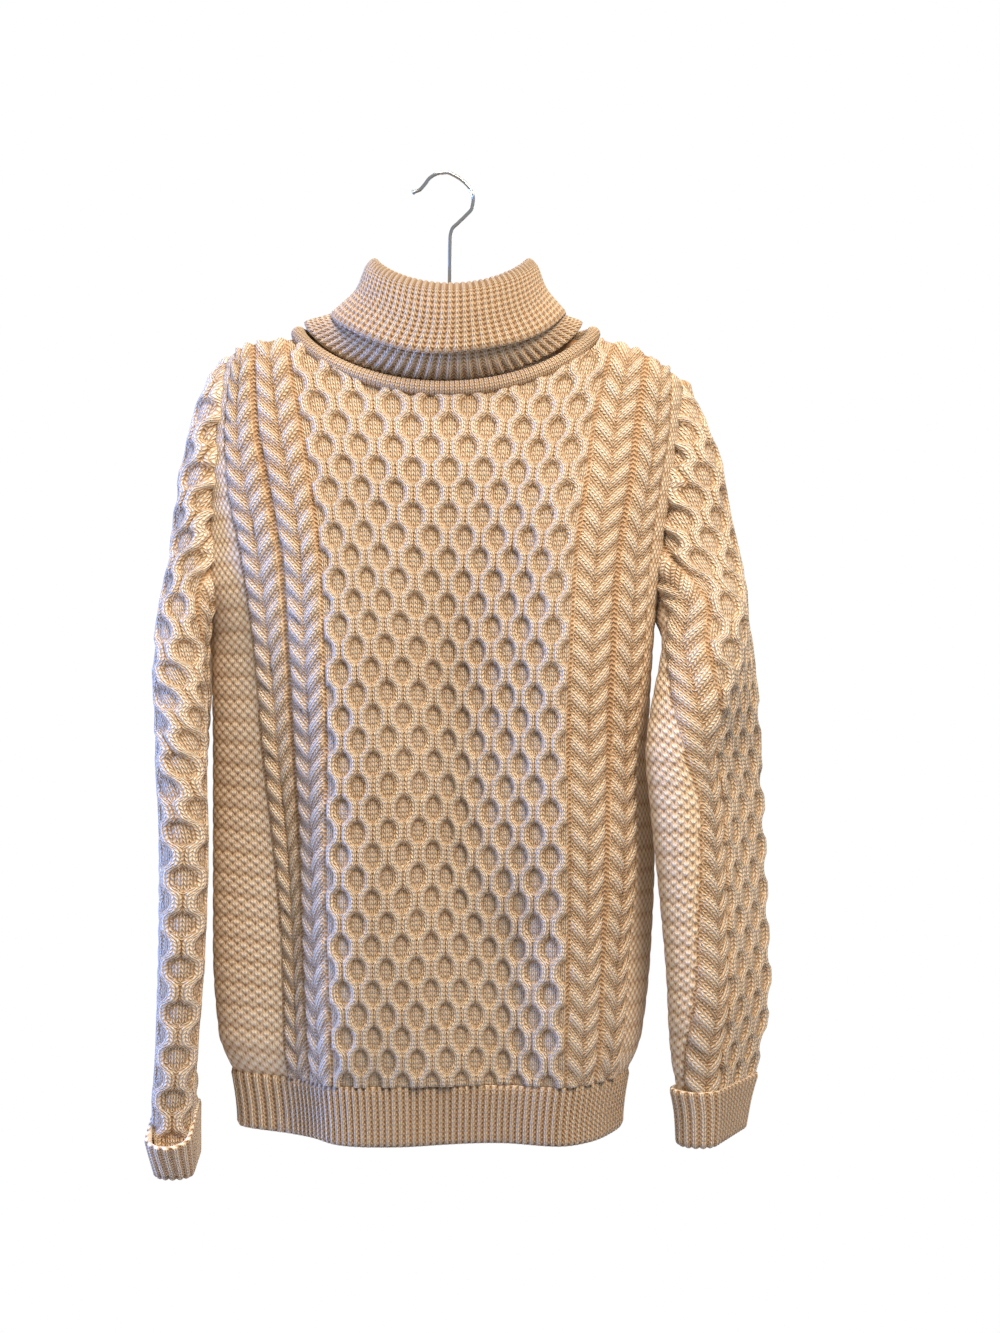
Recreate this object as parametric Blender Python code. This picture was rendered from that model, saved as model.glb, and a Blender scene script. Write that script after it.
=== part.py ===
"""Cable knit turtleneck sweater on a hanger: body, sleeves, ribs, collar, neck welt and hanger."""
import math

import bpy
import numpy as np
from mathutils import Vector
from mathutils.geometry import delaunay_2d_cdt

MM = 0.001

# Knit sizes in millimetres
wall = 3.0
seamGap = 0.3
seamInset = 0.45
cellWide = 32.0
cellTall = 36.0
cordRise = 3.4
cableRise = 3.2
cablePitch = 18.0
cableReach = 16.0
cableSlant = 12.0
mossRise = 0.8
ribRise = 1.6

# Places across a panel, measured over the cloth from its centre line
honeyHalf = 128.0
ladder = 166.0
mossStart = 204.0
mossMiddle = 238.0
cableMiddles = (147.0, 185.0)
sleeveCable = 99.0
sideSeam = 260.0
sleeveHoneyHalf = 80.0
sleeveMoss = 117.0

# Heights, with zero at the hook
hemBottom = -787.0
hemTop = -740.0
armpit = -394.0
rollDrop = 26.0
seamSlope = 0.9
neckHalf = 129.0
neckSideZ = -133.0

# Front panel by height. The x columns follow the cloth at these places across it.
across = (-260.0, -204.0, -166.0, -128.0, -64.0, 0.0, 64.0, 128.0, 166.0, 204.0, 260.0)
frontX = {
    # height: left seam, moss, ladder, honeycomb, quarter, centre, and the same out to the right seam
    -141.0: (-181.0, -175.0, -161.0, -132.0, -66.0, 0.0, 66.0, 133.0, 164.0, 184.0, 194.0),
    -212.0: (-189.0, -182.0, -155.0, -117.0, -58.5, 1.5, 61.0, 115.0, 152.0, 180.0, 188.0),
    -253.0: (-192.0, -180.0, -146.0, -110.0, -55.0, 2.0, 57.0, 110.0, 147.0, 173.0, 182.0),
    -320.0: (-195.0, -168.0, -134.0, -101.0, -53.0, 1.0, 53.0, 101.0, 136.0, 163.0, 173.0),
    -394.0: (-195.0, -157.0, -128.0, -97.0, -50.0, 0.0, 49.0, 97.0, 132.0, 158.0, 166.0),
    -475.0: (-194.0, -149.0, -122.0, -93.0, -48.0, 0.0, 47.0, 94.0, 127.0, 151.0, 163.0),
    -563.0: (-194.0, -139.0, -116.0, -92.0, -47.0, -1.0, 45.0, 94.0, 124.0, 150.0, 168.0),
    -640.0: (-194.0, -134.0, -114.0, -91.0, -47.0, -1.0, 45.0, 94.0, 121.0, 144.0, 165.0),
    -712.0: (-189.0, -133.0, -111.0, -89.0, -46.0, 0.0, 46.0, 93.0, 119.0, 140.0, 157.0),
    -740.0: (-178.0, -129.0, -109.0, -89.0, -46.0, 0.0, 46.0, 93.0, 116.0, 133.0, 146.0),
}
frontY = {
    -141.0: (-10.0, -13.0, -15.0, -17.0, -18.0, -18.0, -18.0, -17.0, -15.0, -13.0, -10.0),
    -212.0: (-18.0, -27.0, -35.0, -40.0, -42.0, -43.0, -42.0, -40.0, -35.0, -25.0, -16.0),
    -253.0: (-24.0, -36.0, -46.0, -52.0, -54.0, -55.0, -54.0, -53.0, -45.0, -34.0, -22.0),
    -320.0: (-24.0, -44.0, -57.0, -66.0, -64.0, -64.0, -66.0, -70.0, -57.0, -42.0, -22.0),
    -394.0: (-0.0, -46.0, -60.0, -76.0, -73.0, -69.0, -74.0, -82.0, -65.0, -44.0, -0.0),
    -475.0: (-0.0, -48.0, -60.0, -82.0, -80.0, -71.0, -79.0, -88.0, -70.0, -45.0, -0.0),
    -563.0: (-0.0, -48.0, -60.0, -87.0, -86.0, -73.0, -83.0, -92.0, -74.0, -46.0, -0.0),
    -640.0: (-0.0, -48.0, -60.0, -88.0, -88.0, -78.0, -76.0, -92.0, -74.0, -47.0, -0.0),
    -712.0: (-0.0, -46.0, -60.0, -86.0, -86.0, -78.0, -76.0, -88.0, -70.0, -43.0, -0.0),
    -740.0: (-0.0, -43.0, -60.0, -80.0, -82.0, -77.0, -77.0, -83.0, -65.0, -39.0, -0.0),
}
backSpread = (0.0, 0.115, 0.205, 0.30, 0.40, 0.50, 0.60, 0.70, 0.795, 0.885, 1.0)
backBulge = (0.0, 0.62, 0.82, 0.97, 0.98, 0.92, 0.99, 1.0, 0.84, 0.64, 0.0)
backDepth = {-141.0: 20.0, -212.0: 36.0, -253.0: 45.0, -320.0: 60.0, -394.0: 72.0, -475.0: 79.0,
             -563.0: 84.0, -640.0: 86.0, -712.0: 84.0, -740.0: 78.0}
shoulderZ = (-155.0, -149.0, -142.0, -131.0, -120.0, -114.0, -120.0, -132.0, -149.0, -165.0, -174.0)

# Sleeve rings by height: ring centre out from the middle and forward, half thickness, half depth, tilt in
# degrees that brings the front end in, share of the girth that the centre line turns to the front, and the
# share of the ring that is cloth, which is less than one where the armhole opens it.
leftRings = (
    (-158.0, 185.0, 0.0, 10.0, 6.0, 0.0, 0.0, 0.50),
    (-172.0, 188.0, 0.0, 16.0, 14.0, 0.0, 0.0, 0.50),
    (-212.0, 191.0, 0.0, 24.5, 24.0, 0.0, 0.0, 0.50),
    (-253.0, 195.5, 0.0, 28.0, 32.0, 0.0, 0.0, 0.52),
    (-320.0, 209.0, 0.0, 22.0, 42.0, 0.0, 0.0, 0.62),
    (-360.0, 217.0, 0.0, 21.0, 52.0, 0.0, 0.02, 0.80),
    (-394.0, 221.8, 0.0, 20.8, 60.0, 0.0, 0.05, 1.0),
    (-440.0, 223.5, 0.0, 20.5, 68.0, 4.0, 0.12, 1.0),
    (-500.0, 223.5, 0.0, 20.5, 75.0, 8.0, 0.21, 1.0),
    (-560.0, 223.0, 0.0, 20.5, 77.0, 10.0, 0.25, 1.0),
    (-640.0, 223.0, 0.0, 20.0, 72.0, 10.0, 0.25, 1.0),
    (-720.0, 226.0, 0.0, 16.0, 60.0, 9.0, 0.25, 1.0),
    (-772.0, 226.5, 0.0, 11.5, 49.0, 5.0, 0.25, 1.0),
    (-810.0, 225.5, 0.0, 9.5, 44.0, 4.0, 0.25, 1.0),
)
rightRings = (
    (-176.0, 193.0, 0.0, 10.0, 6.0, 0.0, 0.0, 0.50),
    (-190.0, 191.0, 0.0, 15.0, 14.0, 0.0, 0.0, 0.50),
    (-212.0, 188.5, 0.0, 26.5, 23.0, 0.0, 0.0, 0.50),
    (-253.0, 184.5, 0.0, 45.5, 32.0, 0.0, 0.0, 0.52),
    (-320.0, 193.5, -2.0, 52.5, 46.0, 3.0, 0.0, 0.62),
    (-360.0, 213.0, -6.0, 37.5, 58.0, 6.0, -0.02, 0.80),
    (-394.0, 218.0, -14.0, 36.0, 64.0, 14.0, -0.04, 1.0),
    (-436.0, 217.5, -22.0, 32.0, 72.0, 28.0, -0.09, 1.0),
    (-478.0, 215.5, -22.0, 25.0, 78.0, 37.0, -0.15, 1.0),
    (-520.0, 217.0, -24.0, 23.0, 77.0, 38.0, -0.18, 1.0),
    (-618.0, 221.5, -24.0, 22.0, 70.0, 38.0, -0.18, 1.0),
    (-677.0, 223.0, -22.0, 20.5, 67.0, 38.0, -0.18, 1.0),
    (-720.0, 221.0, -20.0, 17.0, 58.0, 35.0, -0.18, 1.0),
    (-770.0, 217.0, -19.0, 12.0, 46.0, 26.0, -0.18, 1.0),
    (-806.0, 215.0, -18.0, 10.0, 43.0, 25.0, -0.18, 1.0),
)

# Sleeve cloth, half its width over the fold, by height
leftHalfCloth = {-158.0: 9.0, -172.0: 20.0, -212.0: 34.0, -253.0: 47.0, -320.0: 84.0, -360.0: 126.0,
                 -394.0: 150.0, -440.0: 158.0, -560.0: 160.0, -640.0: 152.0, -720.0: 134.0, -810.0: 120.0}
rightHalfCloth = {-176.0: 9.0, -190.0: 19.0, -212.0: 35.0, -253.0: 60.0, -320.0: 98.0, -360.0: 134.0,
                  -394.0: 158.0, -440.0: 166.0, -520.0: 164.0, -618.0: 150.0, -720.0: 134.0, -806.0: 120.0}

# Collar rings from the welt up, over the fold and down: middle x, half width, front and back depth, heights
# at the sides, the front and the back.
collarRings = (
    (0.5, 115.0, 28.0, 17.0, -124.0, -174.0, -128.0),
    (1.0, 88.0, 45.0, 36.0, -119.0, -159.0, -124.0),
    (2.0, 76.0, 48.0, 44.0, -100.0, -136.0, -108.0),
    (3.0, 67.0, 44.0, 44.0, -77.0, -108.0, -90.0),
    (3.0, 70.0, 48.0, 48.0, -69.5, -99.5, -85.0),
    (3.0, 75.0, 54.0, 53.0, -73.0, -104.0, -89.0),
    (2.0, 86.0, 60.0, 58.0, -92.0, -129.0, -105.0),
    (0.5, 96.0, 63.0, 61.0, -112.0, -154.0, -120.0),
)
weltRing = (0.5, 125.0, 36.0, 27.0, -126.0, -182.0, -134.0)
weltRadius = 6.0
collarRibs = 60
hemRibs = 70
cuffRibs = 36
cuffTall = 42.0
turnRadius = 2.3
cuffFlare = 1.2

# Hook wire, bent in one plane from the ball tip to the shaft: x and z
wireRadius = 1.5
barTop = -118.0
hookPath = ((-29.3, -14.1), (-25.0, -12.5), (-20.8, -8.2), (-16.0, -2.2), (-9.0, 1.4), (-2.0, 2.0),
            (4.3, -0.4), (8.6, -3.0), (13.4, -6.8), (17.4, -11.8), (19.9, -19.5), (18.6, -27.5),
            (13.4, -33.8), (7.2, -39.8), (2.2, -45.0), (0.6, -52.5), (0.2, -80.0), (0.0, barTop + seamGap))
barShoulder = -133.5
barHalfWide = 5.0
barHalfTall = 8.0


def smooth(knots, values, at):
    """A curve through values at knots, read at each place, that never swings past them."""
    knots = np.asarray(knots, float)
    values = np.asarray(values, float)
    order = np.argsort(knots)
    knots = knots[order]
    values = values[order]
    rise = np.diff(values, axis=0) / np.diff(knots).reshape((-1,) + (1,) * (values.ndim - 1))
    same = rise[1:] * rise[:-1] > 0
    total = np.where(same, rise[1:] + rise[:-1], 1.0)
    slope = np.concatenate([rise[:1], np.where(same, 2 * rise[1:] * rise[:-1] / total, 0.0), rise[-1:]])
    at = np.clip(np.asarray(at, float), knots[0], knots[-1])
    cell = np.clip(np.searchsorted(knots, at) - 1, 0, len(knots) - 2)
    step = (knots[1:] - knots[:-1])[cell]
    f = (at - knots[cell]) / step
    f = f.reshape(f.shape + (1,) * (values.ndim - 1))
    step = step.reshape(f.shape)
    return ((2 * f ** 3 - 3 * f ** 2 + 1) * values[cell] + (f ** 3 - 2 * f ** 2 + f) * step * slope[cell]
            + (3 * f ** 2 - 2 * f ** 3) * values[cell + 1] + (f ** 3 - f ** 2) * step * slope[cell + 1])


def alongRow(columns, s, first, last):
    """Read each point's own row of column values at s, meeting the edges at slopes first and last."""
    knots = np.array(across)
    rise = np.diff(columns, axis=1) / np.diff(knots)
    slope = np.empty_like(columns)
    slope[:, 1:-1] = (rise[:, 1:] + rise[:, :-1]) / 2
    slope[:, 0] = first
    slope[:, -1] = last
    s = np.clip(s, knots[0], knots[-1])
    cell = np.clip(np.searchsorted(knots, s) - 1, 0, len(knots) - 2)
    rows = np.arange(len(s))
    step = np.diff(knots)[cell]
    f = (s - knots[cell]) / step
    return ((2 * f ** 3 - 3 * f ** 2 + 1) * columns[rows, cell]
            + (f ** 3 - 2 * f ** 2 + f) * step * slope[rows, cell]
            + (3 * f ** 2 - 2 * f ** 3) * columns[rows, cell + 1]
            + (f ** 3 - f ** 2) * step * slope[rows, cell + 1])


def tableAt(table, z):
    """A table of rows by height, read at each z."""
    return smooth(list(table.keys()), list(table.values()), z)


def topZ(s):
    """Height of the shoulder line above each place across."""
    return smooth(across, shoulderZ, s)


def bodyPlace(s, z, side):
    """Middle of the body cloth: side is -1 in front and 1 behind. It rolls over the shoulder's top."""
    roll = np.clip((z - (topZ(s) - rollDrop)) / rollDrop, 0.0, 1.0)
    lowZ = np.minimum(z, topZ(s))
    xs = tableAt(frontX, lowZ)
    if side < 0:
        ys = tableAt(frontY, lowZ)
    else:
        left = xs[:, :1]
        even = left + (xs[:, -1:] - left) * np.array(backSpread)
        share = np.clip((neckSideZ - 20.0 - lowZ) / (neckSideZ - 20.0 - armpit), 0.0, 1.0)[:, None]
        xs = xs + (even - xs) * share * share * (3 - 2 * share)
        ys = tableAt(backDepth, lowZ)[:, None] * np.array(backBulge)
        seam = tableAt(frontY, lowZ)[:, [0, -1]]
        ys[:, 0] = -seam[:, 0]
        ys[:, -1] = -seam[:, 1]
    step = across[1] - across[0]
    first = np.clip(2 * (ys[:, 1] - ys[:, 0]) / step, -seamSlope, seamSlope)
    last = np.clip(2 * (ys[:, -1] - ys[:, -2]) / step, -seamSlope, seamSlope)
    y = alongRow(ys, s, first, last)
    slack = 1.5 / step * (1 - np.abs(np.stack([first, last])) / seamSlope)
    x = alongRow(xs, s, (xs[:, 1] - xs[:, 0]) * slack[0], (xs[:, -1] - xs[:, -2]) * slack[1])
    return np.stack([x, y * np.sqrt(np.maximum(1 - roll ** 2, 0.0004)), lowZ], axis=1)


def ringPoint(share, numbers):
    """Point on a flattened ring with round corners: share of its girth from the outer side to the front."""
    centreOut, forward, short, deep, tilt = [numbers[:, k] for k in range(5)]
    corner = np.minimum(short, deep)[:, None] * 0.96
    quarter = np.linspace(0.0, math.pi / 2, 40)
    angle = np.concatenate([quarter + k * math.pi / 2 for k in range(4)])
    sideways = np.repeat((1.0, -1.0, -1.0, 1.0), 40)
    ahead = np.repeat((1.0, 1.0, -1.0, -1.0), 40)
    out = (short[:, None] - corner) * sideways + corner * np.cos(angle)
    front = (deep[:, None] - corner) * ahead + corner * np.sin(angle)
    zero = np.zeros((len(short), 1))
    out = np.concatenate([short[:, None], out, short[:, None]], axis=1)
    front = np.concatenate([zero, front, zero], axis=1)
    steps = np.cumsum(np.hypot(np.diff(out, axis=1), np.diff(front, axis=1)), axis=1)
    length = np.concatenate([np.zeros((len(short), 1)), steps], axis=1)
    want = (share % 1.0) * length[:, -1]
    cell = np.clip((length < want[:, None]).sum(axis=1) - 1, 0, 160)
    rows = np.arange(len(short))
    f = (want - length[rows, cell]) / np.maximum(length[rows, cell + 1] - length[rows, cell], 1e-9)
    u = out[rows, cell] * (1 - f) + out[rows, cell + 1] * f
    v = front[rows, cell] * (1 - f) + front[rows, cell + 1] * f
    turn = np.radians(tilt)
    return (centreOut + u * np.cos(turn) - v * np.sin(turn),
            forward - u * np.sin(turn) - v * np.cos(turn))


def sleevePlace(s, z, rings, cloth, mirror):
    """Middle of the sleeve cloth: s runs from the back seam through the centre line to the front seam."""
    table = {row[0]: row[1:] for row in rings}
    numbers = tableAt(table, z)
    half = tableAt(cloth, z)
    share = numbers[:, 5] + s / half * numbers[:, 6] / 2
    x, y = ringPoint(share, numbers)
    return np.stack([mirror * x, y, z], axis=1)


def ringPlace(angle, row):
    """Point on a neck ring, with angle zero at the front and growing to the wearer's left."""
    middle, half, front, back, zSide, zFront, zBack = [row[..., k] for k in range(7)]
    ahead = np.maximum(np.cos(angle), 0.0)
    behind = np.maximum(-np.cos(angle), 0.0)
    x = middle + half * np.sin(angle)
    y = back * behind ** 0.85 - front * ahead ** 0.85
    z = zSide + (zFront - zSide) * ahead ** 1.4 + (zBack - zSide) * behind ** 1.4
    return np.stack([x, y, z], axis=-1)


def collarPlace(s, t):
    """Middle of the collar cloth: s is the rib count round from the back, t the ring number."""
    rows = smooth(range(len(collarRings)), collarRings, t)
    return ringPlace(s / collarRibs * 2 * math.pi - math.pi, rows)


def hemPlace(s, z, side):
    """Middle of the hem rib, which carries on from the panel above and draws in."""
    drop = (hemTop - z) / (hemTop - hemBottom)
    above = bodyPlace(s, np.full(len(s), hemTop), side)
    above[:, 0] = -15.0 + (above[:, 0] + 15.0) * (1 - 0.035 * np.sin(drop * math.pi / 2))
    above[:, 1] *= 1 - 0.03 * drop
    above[:, 2] = z
    return above


def cuffPlace(s, t, rings, mirror, foot, flare):
    """Middle of a turned back cuff: t runs from the sleeve's end round the turn and up outside it."""
    table = {row[0]: row[1:] for row in rings}
    rise = np.clip(t - 1.0, 0.0, 1.0)
    numbers = tableAt(table, foot + cuffTall * rise)
    out = turnRadius * (1 - np.cos(np.clip(t, 0, 1) * math.pi)) + cuffFlare * rise
    share = numbers[:, 5] + s / cuffRibs
    front = np.maximum(np.cos((share - 0.25) * 2 * math.pi), 0.0) ** 2
    lean = flare * front * rise
    numbers[:, 2] += out
    numbers[:, 3] += out
    x, y = ringPoint(share, numbers)
    z = foot - turnRadius * np.sin(np.clip(t, 0, 1) * math.pi) + cuffTall * rise - lean * 0.5
    return np.stack([mirror * x, y - lean, z], axis=1)


def facing(place, s, t, outward):
    """Unit directions square to the cloth, on the outward side."""
    step = 0.4 if np.ptp(t) > 20 else 0.02
    across_ = place(s + 0.4, t) - place(s - 0.4, t)
    up = place(s, t + step) - place(s, t - step)
    square = np.cross(across_, up) * outward
    return square / np.maximum(np.linalg.norm(square, axis=1, keepdims=True), 1e-9)


def knitSheet(name, place, outward, outline, outerInside, ridges, innerInside, rise, material, tall=1.0):
    """One piece of knitting: outer points raised by rise over plain inner points, closed at its edges.

    The triangles are chosen on the flat cloth, with its second coordinate stretched by tall.
    """
    border = [Vector((a, b * tall)) for a, b in outline]
    loop = [(i, (i + 1) % len(border)) for i in range(len(border))]
    faces = []
    points = []
    sides = []
    for inside, extra in ((outerInside, ridges), (innerInside, [])):
        flat = border + [Vector((a, b * tall)) for a, b in inside]
        lines = loop + [(a + len(border), b + len(border)) for a, b in extra]
        found = delaunay_2d_cdt(flat, lines, [], 1, 1e-4)
        sides.append((np.array([tuple(p) for p in found[0]]), found[2], found[3]))
    count = 0
    edgeOf = []
    for layer, (flat, triangles, source) in enumerate(sides):
        s = flat[:, 0]
        t = flat[:, 1] / tall
        direction = facing(place, s, t, outward)
        isBorder = np.array([any(k < len(border) for k in from_) for from_ in source])
        lift = wall / 2 + np.where(isBorder, 0.0, rise(s, t)) if layer == 0 else np.full(len(s), -wall / 2)
        points.append(place(s, t) + direction * lift[:, None])
        where = {}
        for index, from_ in enumerate(source):
            for k in from_:
                if k < len(border):
                    where[k] = index + count
        edgeOf.append(where)
        for triangle in triangles:
            a, b, c = [k + count for k in triangle]
            faces.append((a, b, c) if (outward > 0) == (layer == 0) else (a, c, b))
        count += len(flat)
    for i, j in loop:
        quad = (edgeOf[0][i], edgeOf[1][i], edgeOf[1][j], edgeOf[0][j])
        faces.append(quad if outward > 0 else quad[::-1])
    return addMesh(name, np.concatenate(points), faces, material)


def addMesh(name, points, faces, material):
    """A named object from points in millimetres, with its faces turned outward."""
    mesh = bpy.data.meshes.new(name)
    mesh.from_pydata((points * MM).tolist(), [], [tuple(int(i) for i in f) for f in faces])
    mesh.validate()
    mesh.materials.append(material)
    thing = bpy.data.objects.new(name, mesh)
    bpy.context.scene.collection.objects.link(thing)
    return thing


def sweepRing(name, centres, ups, shape, closed, material):
    """A bar along centres. Each centre carries the closed shape, given as side and up amounts."""
    count = len(centres)
    ahead = np.roll(centres, -1, axis=0) - np.roll(centres, 1, axis=0)
    if not closed:
        ahead[0] = centres[1] - centres[0]
        ahead[-1] = centres[-1] - centres[-2]
    ahead /= np.linalg.norm(ahead, axis=1, keepdims=True)
    sideways = np.cross(ahead, ups)
    sideways /= np.linalg.norm(sideways, axis=1, keepdims=True)
    upright = np.cross(sideways, ahead)
    around = shape.shape[-2]
    shape = np.broadcast_to(shape, (count, around, 2))
    points = centres[:, None] + sideways[:, None] * shape[..., :1] + upright[:, None] * shape[..., 1:]
    points = points.reshape(-1, 3)
    faces = []
    for i in range(count if closed else count - 1):
        for j in range(around):
            k = (j + 1) % around
            n = (i + 1) % count
            faces.append((i * around + j, n * around + j, n * around + k, i * around + k))
    if not closed:
        faces.append(tuple(range(around)))
        faces.append(tuple(range((count - 1) * around, count * around))[::-1])
    return addMesh(name, points, faces, material)


def honeycombPoints(half, z0, z1):
    """Low cell middles and high joins on one lattice, with lines along the cords from join to join."""
    points = []
    index = {}
    lines = []
    columns = int(half * 2 / (cellWide / 2))
    rows = range(int(math.ceil(z0 / (cellTall / 2))), int(z1 / (cellTall / 2)) + 1)
    for j in rows:
        for i in range(columns + 1):
            index[i, j] = len(points)
            points.append((-half + i * cellWide / 2, j * cellTall / 2))
            for other in ((i - 1, j - 1), (i + 1, j - 1)):
                if (i + j) % 2 and other in index:
                    lines.append((index[other], index[i, j]))
    return points, lines


def cablePoints(middle, z0, z1):
    """Chevron cable: alternate raised and sunk lines that rise from its middle to its edges."""
    points = []
    lines = []
    rows = int((z1 - z0) / (cablePitch / 2))
    for r in range(rows):
        low = z0 + r * cablePitch / 2
        start = len(points)
        for k in (-1, 0, 1):
            points.append((middle + k * cableReach, low + abs(k) * cableSlant))
        lines += [(start, start + 1), (start + 1, start + 2)]
    return points, lines


def honeycombRise(s, z, half):
    """Cord height: full on the joins, none in the middle of each cell."""
    column = np.round((s + half) / (cellWide / 2))
    row = np.round(z / (cellTall / 2))
    return np.where((column + row) % 2 < 0.5, 0.0, cordRise)


def cableRiseAt(s, z, middle, z0):
    """Every other slanted line is raised. The cable's middle stays a little lower than its arms."""
    off = np.abs(s - middle)
    row = np.round((z - z0 - off / cableReach * cableSlant) / (cablePitch / 2))
    ridge = np.where(row % 2 < 0.5, cableRise, 0.9)
    return np.where(off < 1.0, ridge * 0.6, ridge)


def joinPoints(groups):
    """One list of points and lines from several, with the lines' numbers moved on."""
    points = []
    lines = []
    for more, links in groups:
        lines += [(a + len(points), b + len(points)) for a, b in links]
        points += more
    return points, lines


def keepWithin(points, lines, reach, low, high):
    """Points that lie inside the piece by a margin, with the lines that join two of them."""
    keep = {}
    kept = []
    for i, (s, t) in enumerate(points):
        if abs(s) < reach(t) - 7.0 and low + 6.0 < t < high(s) - 7.0:
            keep[i] = len(kept)
            kept.append((s, t))
    return kept, [(keep[a], keep[b]) for a, b in lines if a in keep and b in keep]


def panelRise(s, z, z0):
    """Relief of a body panel by its bands: honeycomb, two cables on each side, moss at the edge."""
    lift = np.where(np.abs(s) > mossStart - 1, mossRise, 0.0)
    lift = np.where(np.abs(s) < honeyHalf + 0.5, honeycombRise(s, z, honeyHalf), lift)
    for middle in cableMiddles:
        near = np.abs(np.abs(s) - middle) < cableReach + 0.5
        lift = np.where(near, cableRiseAt(np.abs(s), z, middle, z0), lift)
    return lift


def sleeveRise(s, z, z0):
    """Relief of a sleeve: honeycomb, a cable on each side, moss by the seam, none in the cuff."""
    lift = np.where(np.abs(s) > sleeveMoss, mossRise, 0.0)
    lift = np.where(np.abs(s) < sleeveHoneyHalf + 0.5, honeycombRise(s, z, sleeveHoneyHalf), lift)
    near = np.abs(np.abs(s) - sleeveCable) < cableReach + 0.5
    lift = np.where(near, cableRiseAt(np.abs(s), z, sleeveCable, z0), lift)
    return np.where(z < z0 + cuffTall, 0.0, lift)


def coarse(reach, low, high, stepS, stepT, widest):
    """Plain points for an inner side or a plain band, in even rows."""
    points = []
    for t in np.arange(low + stepT, 0.0, stepT):
        for s in np.arange(-widest, widest + 0.1, stepS):
            if abs(s) < reach(t) - 8.0 and t < high(s) - 10.0:
                points.append((float(s), float(t)))
    return points


def neckEdge(s, drop):
    """Height of a panel's neckline at s, a rounded scoop between the neck's sides."""
    return neckSideZ - drop * max(0.0, 1 - abs(s / neckHalf) ** 2.3) ** 0.62


def bodyPanel(name, side, neckDrop, material):
    """Front or back: one flat knit piece with its shoulder line, neckline, armholes and side seams."""
    half = sideSeam - seamGap / 2

    def top(s):
        shoulder = float(topZ(np.array([s]))[0])
        return min(shoulder, neckEdge(s, neckDrop)) if abs(s) < neckHalf else shoulder

    bottom = [(s, hemTop + seamGap) for s in np.linspace(-half, half, 23)]
    rightSide = [(half, z) for z in np.linspace(hemTop + 18, top(half) - 16, 25)]
    slope = np.linspace(neckHalf, half, 9)
    shoulders = np.concatenate([slope[::-1], np.linspace(neckHalf, -neckHalf, 25)[1:-1], -slope])
    upper = [(float(s), top(float(s)) - 0.4) for s in shoulders]
    rolled = [(m * float(s), float(topZ(np.array([m * s]))[0]) - down)
              for m in (-1, 1) for s in np.linspace(137.0, 248.0, 8) for down in (5.0, 14.0)]
    scooped = [(float(s), top(float(s)) - 10.0) for s in np.linspace(-108.0, 108.0, 10)]
    leftSide = [(-half, z) for z in np.linspace(hemTop + 18, top(-half) - 16, 25)][::-1]
    outline = bottom + rightSide + upper + leftSide

    groups = [honeycombPoints(honeyHalf, hemTop, -120.0)]
    for middle in cableMiddles:
        for m in (-1, 1):
            groups.append(cablePoints(m * middle, hemTop + 4.0, -140.0))
    flats = [(m * x, float(z)) for m in (-1, 1) for x in (ladder, mossStart, mossMiddle)
             for z in np.arange(hemTop + 18.0, -140.0, cellTall)]
    sides, _ = keepWithin(flats, [], lambda t: half, hemTop, lambda s: top(s) - 12.0)
    groups.append((sides, []))
    points, lines = keepWithin(*joinPoints(groups), lambda t: half, hemTop,
                               lambda s: top(s) - 12.0 * (abs(s) > neckHalf))
    points += rolled
    plain = coarse(lambda t: half, hemTop, lambda s: top(s) - 10.0, 40.0, 56.0, 160.0)
    plain += sides + rolled + scooped

    def place(s, z):
        return bodyPlace(s, z, side)

    knitSheet(name, place, -side, outline, points, lines, plain,
              lambda s, z: panelRise(s, z, hemTop + 4.0), material)


def sleeve(name, rings, cloth, mirror, foot, material):
    """One sleeve, a flat piece with a cap, brought round so that its edges meet at the underarm seam."""
    cap = rings[0][0]

    def reach(t):
        return float(tableAt(cloth, np.array([t]))[0])

    edgeZ = np.concatenate([np.linspace(foot, armpit, 19), np.linspace(armpit, cap, 13)[1:]])
    footHalf = reach(foot) - seamInset
    bottom = [(float(s), foot) for s in np.linspace(-footHalf, footHalf, 13)]
    right = [(reach(z) - seamInset, float(z)) for z in edgeZ[1:]]
    left = [(-s, z) for s, z in right[::-1]]
    outline = bottom + right + left

    def top(s):
        return cap

    groups = [honeycombPoints(sleeveHoneyHalf, foot, cap)]
    for middle in (-sleeveCable, sleeveCable):
        groups.append(cablePoints(middle, foot + 4.0, cap))
    edge = [(m * (sleeveMoss + 1.0 + (reach(z) - sleeveMoss) * share), float(z)) for m in (-1, 1)
            for share in (0.0, 0.42, 0.75) for z in edgeZ[1:-4] if share == 0.0 or reach(z) > sleeveMoss + 8.0]
    edge, _ = keepWithin(edge, [], lambda t: reach(t) + 5.0, foot, top)
    groups.append((edge, []))
    points, lines = keepWithin(*joinPoints(groups), reach, foot, top)
    plain = coarse(reach, foot, top, 24.0, 36.0, 96.0) + edge

    def place(s, z):
        return sleevePlace(s, z, rings, cloth, mirror)

    knitSheet(name, place, -mirror, outline, points, lines, plain,
              lambda s, z: sleeveRise(s, z, foot + 4.0), material)


def ribRiseAt(s, t):
    """Every other column of a rib stands out. Whole numbers are knit and halves are purl."""
    return np.where(np.abs(s - np.round(s)) < 0.1, ribRise, 0.0)


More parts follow.
